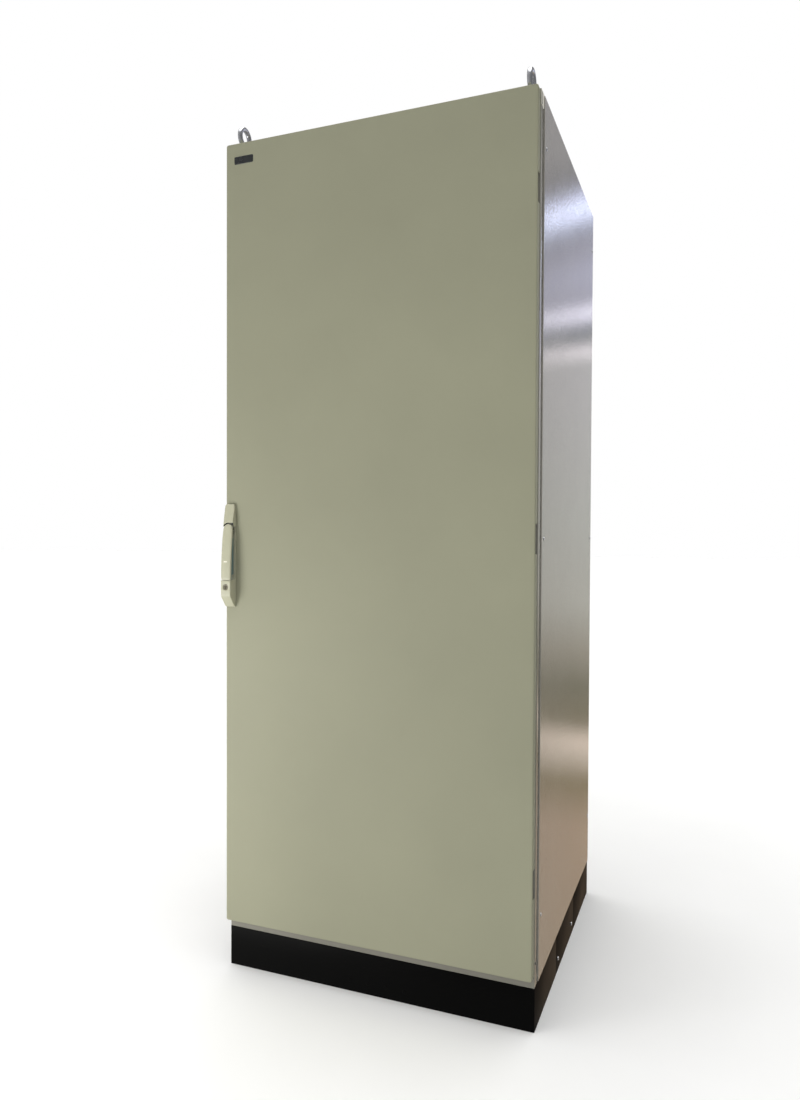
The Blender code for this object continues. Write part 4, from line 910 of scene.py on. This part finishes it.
def make_duct(name, low, high, upright):
    """A wiring duct: slotted walls on a base, under a snap-on lid."""
    bm = bmesh.new()
    lip, wall, tooth = 0.0016, 0.0018, 0.0076
    soft_box(bm, low, (high[0], low[1] + 0.007, high[2]), 0.0012)
    box_into(bm, (low[0] + lip, high[1] - 0.002, low[2] + lip), (high[0] - lip, high[1], high[2] - lip))
    along, across = (2, 0) if upright else (0, 2)
    for middle in steps_between(low[along], high[along], 0.006, 0.0125):
        for start in (low[across] + lip, high[across] - lip - wall):
            corner, far = [0, low[1] + 0.005, 0], [0, high[1] - 0.001, 0]
            corner[along], far[along] = middle - tooth / 2, middle + tooth / 2
            corner[across], far[across] = start, start + wall
            box_into(bm, corner, far)
    piece(name, bm, DUCT)


def make_ducts():
    front, back = PLATE_Y - 0.06, PLATE_Y
    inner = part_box("drive_cover")[1].x + 0.018
    for name, x in (("duct_upright_inner", inner), ("duct_upright_left", PLATE_LOW.x + 0.008)):
        make_duct(name, (x, front, 0.3), (x + 0.04, back, PLATE_HIGH.z - 0.03), True)
    for name, z in (("duct_lower", 1.07), ("duct_middle", 1.3)):
        make_duct(name, (inner + 0.0405, front, z), (PLATE_HIGH.x - 0.012, back, z + 0.04), False)


def make_links():
    """Three copper bars from the breaker down to the contactor, bolted at both ends."""
    low, _, mid = span("breaker_case")
    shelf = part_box("line_contactor")[1].z
    y = PLATE_Y - 0.082
    top = low.z - 0.0004
    bars, bolts = fresh(2)
    for step in (-1, 0, 1):
        x = mid.x + step * POLE_PITCH
        for front, back, z_low, z_high in (
            (0, 0.003, shelf + 0.0004, top),
            (-0.02, 0.0028, shelf + 0.0004, shelf + 0.0034),
            (-0.026, 0.0028, top - 0.003, top),
        ):
            soft_box(bars, (x - 0.009, y + front, z_low), (x + 0.009, y + back, z_high), 0.0007)
        hex_into(bolts, (x, y - 0.01, shelf + 0.0034), *BOLT, "Z")
        hex_into(bolts, (x, y, low.z - 0.03), 0.009, 0.004)
    piece("copper_links", bars, "copper")
    piece("link_bolts", bolts, "zinc_plate")


def make_breaker():
    low, high, mid = span("breaker_case")
    middle, toggle_z = mid.x, 1.818
    raised_low, raised_high = 1.75, 1.886
    shoulder = low.y + 0.015
    grooves, screws, plate = fresh(3)
    ends = ((low.z - 0.01, raised_low - 0.006), (raised_high + 0.006, high.z + 0.01))
    for x, (z_low, z_high) in product((middle - 0.0231, middle + 0.0231), ends):
        box_into(grooves, (x - 0.0008, shoulder - 0.01, z_low), (x + 0.0008, shoulder + 0.004, z_high))
    for z, x in product((low.z + 0.026, high.z - 0.026), (middle - 0.046, middle, middle + 0.046)):
        lathe_into(grooves, rod(0.0075, -0.008, 0.01), (x, shoulder, z), 24)
        screw_into(screws, (x, shoulder + 0.0075, z), 0.0062, 0.003)
    skin_of("breaker_case", grooves, 0.0014)
    for x, z in product((middle - 0.058, middle + 0.058), (raised_low + 0.012, raised_high - 0.012)):
        screw_into(screws, (x, low.y - 0.0002, z), 0.0032, 0.0012)
    piece("breaker_screws", screws, "zinc_plate")
    for x in (middle - 0.05, middle + 0.026):
        corner = (x, low.y - 0.0005, toggle_z - 0.03)
        soft_box(plate, corner, (x + 0.024, low.y + 0.001, toggle_z + 0.03), 0.0004)
    piece("breaker_plates", plate, PALE_GREY)


def make_contactor():
    low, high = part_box("line_contactor")
    middle = (low.x + high.x) / 2
    columns = (middle - POLE_PITCH, middle, middle + POLE_PITCH)
    cuts, front = fresh(2)
    for step in range(7):
        z = low.z + 0.058 + step * 0.0105
        box_into(cuts, (middle - 0.04, low.y - 0.01, z), (middle - 0.012, low.y + 0.003, z + 0.004))
    for z, x in product((low.z, high.z), columns):
        box_into(cuts, (x - 0.012, low.y + 0.07, z - 0.012), (x + 0.012, low.y + 0.088, z + 0.012))
    skin_of("line_contactor", cuts, 0.0012)
    for x_low, x_high, y_low, y_high, inset, soft in (
        (0.004, 0.042, -0.003, 0.001, 0.06, 0.0014),
        (0.014, 0.03, -0.0042, -0.002, 0.078, 0.0006),
    ):
        corner = (middle + x_low, low.y + y_low, low.z + inset)
        soft_box(front, corner, (middle + x_high, low.y + y_high, high.z - inset), soft)
    piece("contactor_bridge", front, PALE_GREY)
    places = product(columns, [low.y + 0.0645], (low.z + 0.015, high.z - 0.015))
    screw_row("contactor_screws", places, 0.0055, 0.0025)


def cut_drive_cover(seam):
    """Cuts the cover's louvres, its seam and the vents in its sides."""
    low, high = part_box("drive_cover")
    middle = (low.x + high.x) / 2
    cuts = bmesh.new()
    for z_from, z_to in ((low.z + 0.05, low.z + 0.16), (high.z - 0.06, high.z - 0.02)):
        for z, left in product(steps_between(z_from, z_to, 0, 0.011), (middle - 0.112, middle + 0.012)):
            box_into(cuts, (left, low.y - 0.01, z - 0.0022), (left + 0.1, low.y + 0.02, z + 0.0022))
    near = (low.x - 0.01, low.y - 0.01, seam - 0.0008)
    box_into(cuts, near, (high.x + 0.01, low.y + 0.0014, seam + 0.0008))
    for x, z in product((low.x, high.x), steps_between(low.z, high.z, 0.06, 0.016)):
        box_into(cuts, (x - 0.01, low.y + 0.02, z - 0.003), (x + 0.01, low.y + 0.05, z + 0.003))
    skin_of("drive_cover", cuts, 0.001)


def make_drive():
    """The drive's cover, its blank display, arrow keys and status lamps."""
    low, high, mid = span("drive_cover")
    key_low, key_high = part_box("keypad_case")
    middle, y, top = mid.x, key_low.y, key_high.z
    seam = low.z + 0.215
    cut_drive_cover(seam)
    levels = (low.z + 0.014, seam - 0.014, seam + 0.014, high.z - 0.01)
    places = product((low.x + 0.012, high.x - 0.012), [low.y - 0.0002], levels)
    screw_row("cover_screws", places, 0.0038, 0.0016)
    skin_of("keypad_case", width=0.0012)
    corner = (middle - 0.033, y - 0.001, top - 0.062)
    slab("display_bezel", "drive_shell", corner, (middle + 0.033, y + 0.0005, top - 0.012), 0.0005)
    corner = (middle - 0.028, y - 0.0014, top - 0.056)
    slab("display_glass", GLASS, corner, (middle + 0.028, y - 0.0008, top - 0.019), 0.0002)
    keys, lamps = fresh(2)
    height = top - 0.086
    button = [(0, 0.0017), (0.003, 0.0017), (0.004, 0.001), (0.0042, -0.0005)]
    for index in range(4):
        angle = pi / 2 * index
        place = (middle + 0.0115 * cos(angle), y, height + 0.0115 * sin(angle))
        lathe_into(keys, button, place, 20)
    piece("arrow_keys", keys, PALE_GREY)
    lens = [(0, 0.0012), (0.001, 0.001), (0.0016, 0), (0.0016, -0.0005)]
    for x in (-0.03, 0.03):
        lathe_into(lamps, lens, (middle + x, y, height), 16)
    piece("status_lamps", lamps, "start_key")
    corner = (middle - 0.06, low.y - 0.0006, seam + 0.06)
    slab("drive_plate", PALE_GREY, corner, (middle + 0.06, low.y + 0.0005, seam + 0.11), 0.0005)


def make_fan():
    """A seven-bladed rotor with swept, twisted blades."""
    low, high, centre = span("drive_fan_rotor")
    half = (high.z - low.z) / 2
    reach = (high.x - low.x) / 2 - 0.0004
    bm = bmesh.new()
    hub = 0.0205
    root = hub - 0.002
    profile = [(0, half - 0.001), (hub - 0.004, half - 0.001), (hub - 0.001, half - 0.003)]
    profile += [(hub, half - 0.006), (hub, 0.002 - half), (root, 0.0005 - half), (0, 0.0005 - half)]
    lathe_into(bm, profile, centre, 40, "Z")
    for blade in range(7):
        loops = []
        for station in range(9):
            share = station / 8
            radius = root + (reach - root) * share
            chord = 0.022 + 0.006 * share
            pitch = radians(46 - 18 * share)
            sweep = 0.45 * share**1.5
            loop = []
            for u, thick in ((-0.5, 0), (-0.2, 1), (0.2, 1), (0.5, 0), (0.2, -1), (-0.2, -1)):
                along = u * chord
                camber = 0.002 * (1 - 4 * u * u) + thick * 0.0007
                tangent = along * cos(pitch) - camber * sin(pitch)
                height = along * sin(pitch) + camber * cos(pitch)
                angle = 2 * pi * blade / 7 + sweep + tangent / radius
                height = max(-half + 0.0006, min(half - 0.0006, height))
                loop.append(centre + Vector((radius * cos(angle), radius * sin(angle), height)))
            loops.append(loop)
        loft(bm, loops)
    piece("fan_rotor", bm, "dark_plastic", "drive_fan", 50, stands_for="drive_fan_rotor")


def make_reactor():
    core_low, core_high, core_mid = span("reactor_core")
    skin_of("reactor_core", width=0.0006)
    bolts, lugs, strips = fresh(3)
    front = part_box("reactor_coil_left")[0].y + 0.03
    columns = (core_low.x + 0.025, core_mid.x, core_high.x - 0.025)
    for x, z in product(columns, (core_low.z + 0.025, core_high.z - 0.025)):
        hex_into(bolts, (x, front - 0.0002, z), 0.013, 0.007)
    for place in ("left", "middle", "right"):
        node = f"reactor_coil_{place}"
        low, high, mid = span(node)
        skin_of(node, width=0.0015)
        for step in (-1, 1):
            x = mid.x + step * 0.022
            corner = (x - 0.01, low.y + 0.004, high.z - 0.002)
            soft_box(lugs, corner, (x + 0.01, low.y + 0.007, high.z + 0.034), 0.0008)
            hex_into(bolts, (x, low.y + 0.004, high.z + 0.02), *BOLT)
        for z in (low.z + 0.006, high.z - 0.012):
            corner = (low.x + 0.012, low.y - 0.0008, z)
            soft_box(strips, corner, (high.x - 0.012, low.y + 0.001, z + 0.006), 0.0004)
    piece("reactor_bolts", bolts, "zinc_plate")
    piece("reactor_lugs", lugs, "copper")
    piece("reactor_ties", strips, MARKER)


def make_earth_bar():
    low, high, mid = span("earth_bar")
    skin_of("earth_bar", width=0.0006)
    bolts = bmesh.new()
    for x in steps_between(low.x, high.x, 0.02, 0.028):
        hex_into(bolts, (x, low.y - 0.0001, mid.z), *BOLT)
    piece("earth_bolts", bolts, "zinc_plate")


def make_grilles():
    """Louvred covers with rounded corners, and a filter mat behind the blades."""
    for kind in ("inlet", "outlet"):
        low, high, mid = span(f"{kind}_grille")
        z, half, face = mid.z, (high.x - low.x) / 2, high.y
        flange, deep = 0.01, high.y - low.y
        levels = [
            (half, 0.01, flange), (half, 0.01, 0.002), (half - 0.0006, 0.0096, 0.0006),
            (half - 0.002, 0.009, 0), (0.101, 0.005, 0), (0.0995, 0.004, 0.0008), (0.099, 0.004, 0.003),
            (0.099, 0.004, deep), (0.1095, 0.006, deep), (0.1095, 0.006, flange),
        ]
        loops = []
        for reach, corner, back in levels:
            loops.append([(u, face - back, z + v) for u, v in ring_points(reach, reach, corner)])
        bm = lofted_round(loops)
        blade = (
            (0.0008, -0.008), (0.0003, -0.0072), (0.0008, -0.0062),
            (0.015, 0.0058), (0.016, 0.0056), (0.0158, 0.0046),
        )
        for step in range(-4, 5):
            level = z + step * 0.02
            outline = [(face - back, level + rise) for back, rise in blade]
            merge(bm, outline_solid(outline, -0.0992, 0.0992))
        for x in (-0.033, 0.033):
            box_into(bm, (x - 0.001, face - 0.016, z - 0.0992), (x + 0.001, face - 0.004, z + 0.0992))
        piece(f"{kind}_louvres", bm, "dark_plastic", smooth=30, stands_for=f"{kind}_grille")
        mat = bmesh.new()
        box_into(mat, (-0.0985, low.y + 0.002, z - 0.0985), (0.0985, face - 0.0175, z + 0.0985))
        piece(f"{kind}_filter", mat, FILTER)


def make_rear():
    skin_of("rear_panel", width=0.0006)
    low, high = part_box("rear_panel")
    y = [high.y - 0.0002]
    sides = product((low.x + 0.012, high.x - 0.012), y, steps_between(low.z, high.z, 0.03, 0.38))
    ends = product(steps_between(low.x, high.x, 0.15, 0.24), y, (low.z + 0.012, high.z - 0.012))
    screw_row("rear_screws", [*sides, *ends], 0.0048, 0.0018, "Y")


def make_glands():
    """Ribbed dome nuts on round bodies, in the gland plate with its row of screws."""
    skin_of("gland_plate", width=0.0004)
    plate_low, plate_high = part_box("gland_plate")
    columns = steps_between(plate_low.x, plate_high.x, 0.03, 0.115)
    rows = (plate_low.y + 0.012, plate_high.y - 0.012)
    places = product(columns, rows, [plate_high.z - 0.0002])
    screw_row("gland_plate_screws", places, 0.0042, 0.0018, "Z")
    under, over = plate_low.z - 0.0003, plate_high.z + 0.0003
    count = 96
    for kind in ("line", "motor"):
        node = f"cable_gland_{kind}"
        low, high, middle = span(node)
        levels = (
            (0.0212, low.z, 0), (0.033, low.z, 0), (0.0385, low.z + 0.004, 0), (0.0385, under, 0),
            (0.031, under, 0), (0.031, over, 0), (0.0385, over, 0), (0.0385, plate_high.z + 0.01, 0),
            (0.0325, plate_high.z + 0.0112, 1), (0.0325, high.z - 0.007, 1),
            (0.0295, high.z - 0.0008, 0), (0.0285, high.z, 0), (0.0212, high.z, 0),
        )
        loops = []
        for radius, z, ribbed in levels:
            loop = []
            for index in range(count):
                angle = 2 * pi * index / count
                reach = radius * (1 + 0.016 * ribbed * cos(24 * angle))
                loop.append((middle.x + reach * cos(angle), middle.y + reach * sin(angle), z))
            loops.append(loop)
        bm = lofted_round(loops)
        piece(f"{node}_body", bm, "dark_plastic", stands_for=node)


def make_door_inside():
    """The stiffener's fixing holes and an earthing stud."""
    low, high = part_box("door_stiffener")
    rows, columns = ((a + 0.0125, b - 0.0125) for a, b in ((low.z, high.z), (low.x, high.x)))
    uprights = product(columns, [high.y], steps_between(low.z, high.z, 0.02, HOLE_PITCH))
    rails = product(steps_between(low.x, high.x, 0.04, HOLE_PITCH), [high.y], rows)
    skin_of("door_stiffener", holes([*uprights, *rails], 0.0042, 0.006, 0.0042), 0.0008)
    place = (DOOR_HIGH.x - 0.075, DOOR_LOW.y + 0.0023, 0.26)
    stud = bmesh.new()
    hex_into(stud, place, *BOLT, "Y")
    lathe_into(stud, [(0, 0.016), (0.0026, 0.016), (0.003, 0.015), (0.003, 0)], place, 20, "Y")
    piece("door_earth_stud", stud, "copper", "door")


def dress_rest():
    """Every CAD node that nothing else stands for gets its finer copy."""
    unrounded = {"control_board", "drive_heatsink", "drive_fan_housing"}
    for node in sorted(set(frame["nodes"]) - STOOD_FOR):
        skin_of(node, width=0 if node in unrounded else None)


# ---- Studio ----

EYE = Vector((0.7731, -2.149, 1.1193))
YAW, PITCH, ROLL = radians(21.5), radians(1.12), radians(0.25)
LENS = 26.54


def make_camera():
    data = bpy.data.cameras.new("camera")
    data.lens = LENS
    data.sensor_width = 36
    camera = placed("camera", data)
    turns = ((YAW, "Z"), (pi / 2 - PITCH, "X"), (ROLL, "Z"))
    yaw, pitch, roll = (Matrix.Rotation(angle, 4, axis) for angle, axis in turns)
    camera.matrix_world = Matrix.Translation(EYE) @ yaw @ pitch @ roll
    bpy.context.scene.camera = camera


def make_lights():
    """A soft overhead sun and a low, warm, soft fill from the left."""
    sun = bpy.data.lights.new("overhead", "SUN")
    sun.energy = 2.6
    sun.angle = radians(70)
    placed("overhead", sun)
    fill = bpy.data.lights.new("fill_left", "AREA")
    fill.size = 0.9
    fill.energy = 27
    fill.color = (1, 0.985, 0.965)
    light = placed("fill_left", fill)
    light.location = (-1.45, -1.75, 0.3)
    towards = Vector((-0.2, -0.39, 0.45)) - light.location
    light.rotation_euler = towards.to_track_quat("-Z", "Y").to_euler()
    light.visible_camera = False


def make_world():
    """White to the camera, and a dimmer light that is stronger from the left than from the right."""
    world = bpy.data.worlds.new("studio")
    bpy.context.scene.world = world
    n = Nodes(world, "Background")
    facing = n.add("SeparateXYZ", "X", Vector=n.add("TexCoord", "Generated"))
    sideways = n.remap(facing, 0.44, 0.2, -1, 1)
    seen = n.add("LightPath", "Is Camera Ray")
    n.set(Color=(1, 1, 1, 1), Strength=n.remap(seen, sideways, 1, 0, 1))


def staged(name, corners, material):
    """A flat sheet that belongs to the studio."""
    bm = bmesh.new()
    bm.faces.new([bm.verts.new(corner) for corner in corners])
    sheet = placed(name, to_mesh(name, bm))
    sheet.data.materials.append(material)
    return sheet


def make_floor():
    n = Nodes(bpy.data.materials.new("pale_floor"))
    cloudy = n.mix(n.remap(n.noise(1.5, 3), 0, 1), (0.9, 0.9, 0.89), (0.93, 0.93, 0.92))
    n.set(Base_Color=cloudy, Roughness=0.9, Specular_IOR_Level=0.1)
    reach = 40
    corners = [(x * reach, y * reach, 0) for x, y in ((-1, -1), (1, -1), (1, 1), (-1, 1))]
    floor = staged("floor", corners, n.owner)
    floor.location.z = -0.0004
    floor.visible_glossy = False


CARD_LOW, CARD_HIGH = -6, 7
CARD_LEFT, CARD_RIGHT, CARD_BACK = -1.5, 9, 8
CARD_MIDDLE_X = 1.85
CARD_STOPS = (
    (-4.4, (0.5, 0.37, 0.25)), (-2.5, (0.56, 0.39, 0.26)), (-1.95, (0.3, 0.22, 0.1)),
    (-1.66, (0.82, 0.68, 0.54)), (-1.45, (1.15, 0.95, 0.78)), (-1.2, (0.26, 0.21, 0.12)),
    (-0.75, (0.2, 0.18, 0.11)), (-0.35, (0.42, 0.38, 0.3)), (0.25, (0.66, 0.65, 0.58)),
    (1.3, (0.69, 0.7, 0.66)), (3.06, (0.74, 0.73, 0.76)), (3.22, (0.7, 0.7, 0.72)),
    (3.36, (1.55, 1.46, 1.55)), (3.5, (0.36, 0.38, 0.42)), (3.66, (0.42, 0.44, 0.54)),
    (3.8, (1.78, 1.74, 2.05)), (3.96, (0.6, 0.6, 0.76)), (4.3, (0.68, 0.69, 0.9)),
    (4.6, (0.5, 0.5, 0.64)), (4.88, (0.5, 0.54, 0.72)), (5.06, (2.45, 2.65, 3.5)),
    (5.22, (0.9, 0.94, 1.25)), (5.42, (0.3, 0.3, 0.34)), (5.9, (0.46, 0.45, 0.47)),
)


def make_reflection_card():
    """A tall card behind and to the right: floor tones low down, lamps high up. Its bands slant a little."""
    n = Nodes(bpy.data.materials.new("reflection_card"))
    x, z = (n.add("SeparateXYZ", axis, Vector=n.place) for axis in "XZ")
    from_middle = n.maths("SUBTRACT", x, CARD_MIDDLE_X)
    slanted = n.maths("MULTIPLY_ADD", from_middle, n.remap(z, 0, 0.22, 3, 5.1), z)
    ramp = n.nodes.new("ShaderNodeValToRGB")
    n.put(ramp.inputs["Fac"], n.remap(slanted, 0, 1, CARD_LOW, CARD_HIGH))
    stops = ramp.color_ramp.elements
    while len(stops) < len(CARD_STOPS):
        stops.new(0.5)
    for stop, (height, colour) in zip(stops, CARD_STOPS):
        stop.position = (height - CARD_LOW) / (CARD_HIGH - CARD_LOW)
        stop.color = (*colour, 1)
    glow = ramp.outputs["Color"]
    n.set(Base_Color=(0, 0, 0, 1), Specular_IOR_Level=0, Emission_Color=glow, Emission_Strength=1)
    x_ends = (CARD_LEFT, CARD_RIGHT, CARD_RIGHT, CARD_LEFT)
    z_ends = (CARD_LOW, CARD_LOW, CARD_HIGH, CARD_HIGH)
    card = staged("reflection_card", [(x, CARD_BACK, z) for x, z in zip(x_ends, z_ends)], n.owner)
    for ray in ("visible_camera", "visible_diffuse", "visible_transmission", "visible_shadow"):
        setattr(card, ray, False)


bpy.context.scene.view_settings.view_transform = "Standard"
for make in (
    make_camera, make_world, make_lights, make_floor, make_reflection_card, make_door, make_side_panels,
    make_plinth_fittings, make_corner_caps, make_eyebolts, make_handle_housing, make_handle_lever, make_lock,
    make_nameplate, make_posts, make_plate, make_rail, make_terminals, make_ducts, make_links, make_breaker,
    make_contactor, make_drive, make_fan, make_reactor, make_earth_bar, make_grilles, make_rear, make_glands,
    make_door_inside, dress_rest,
):
    make()
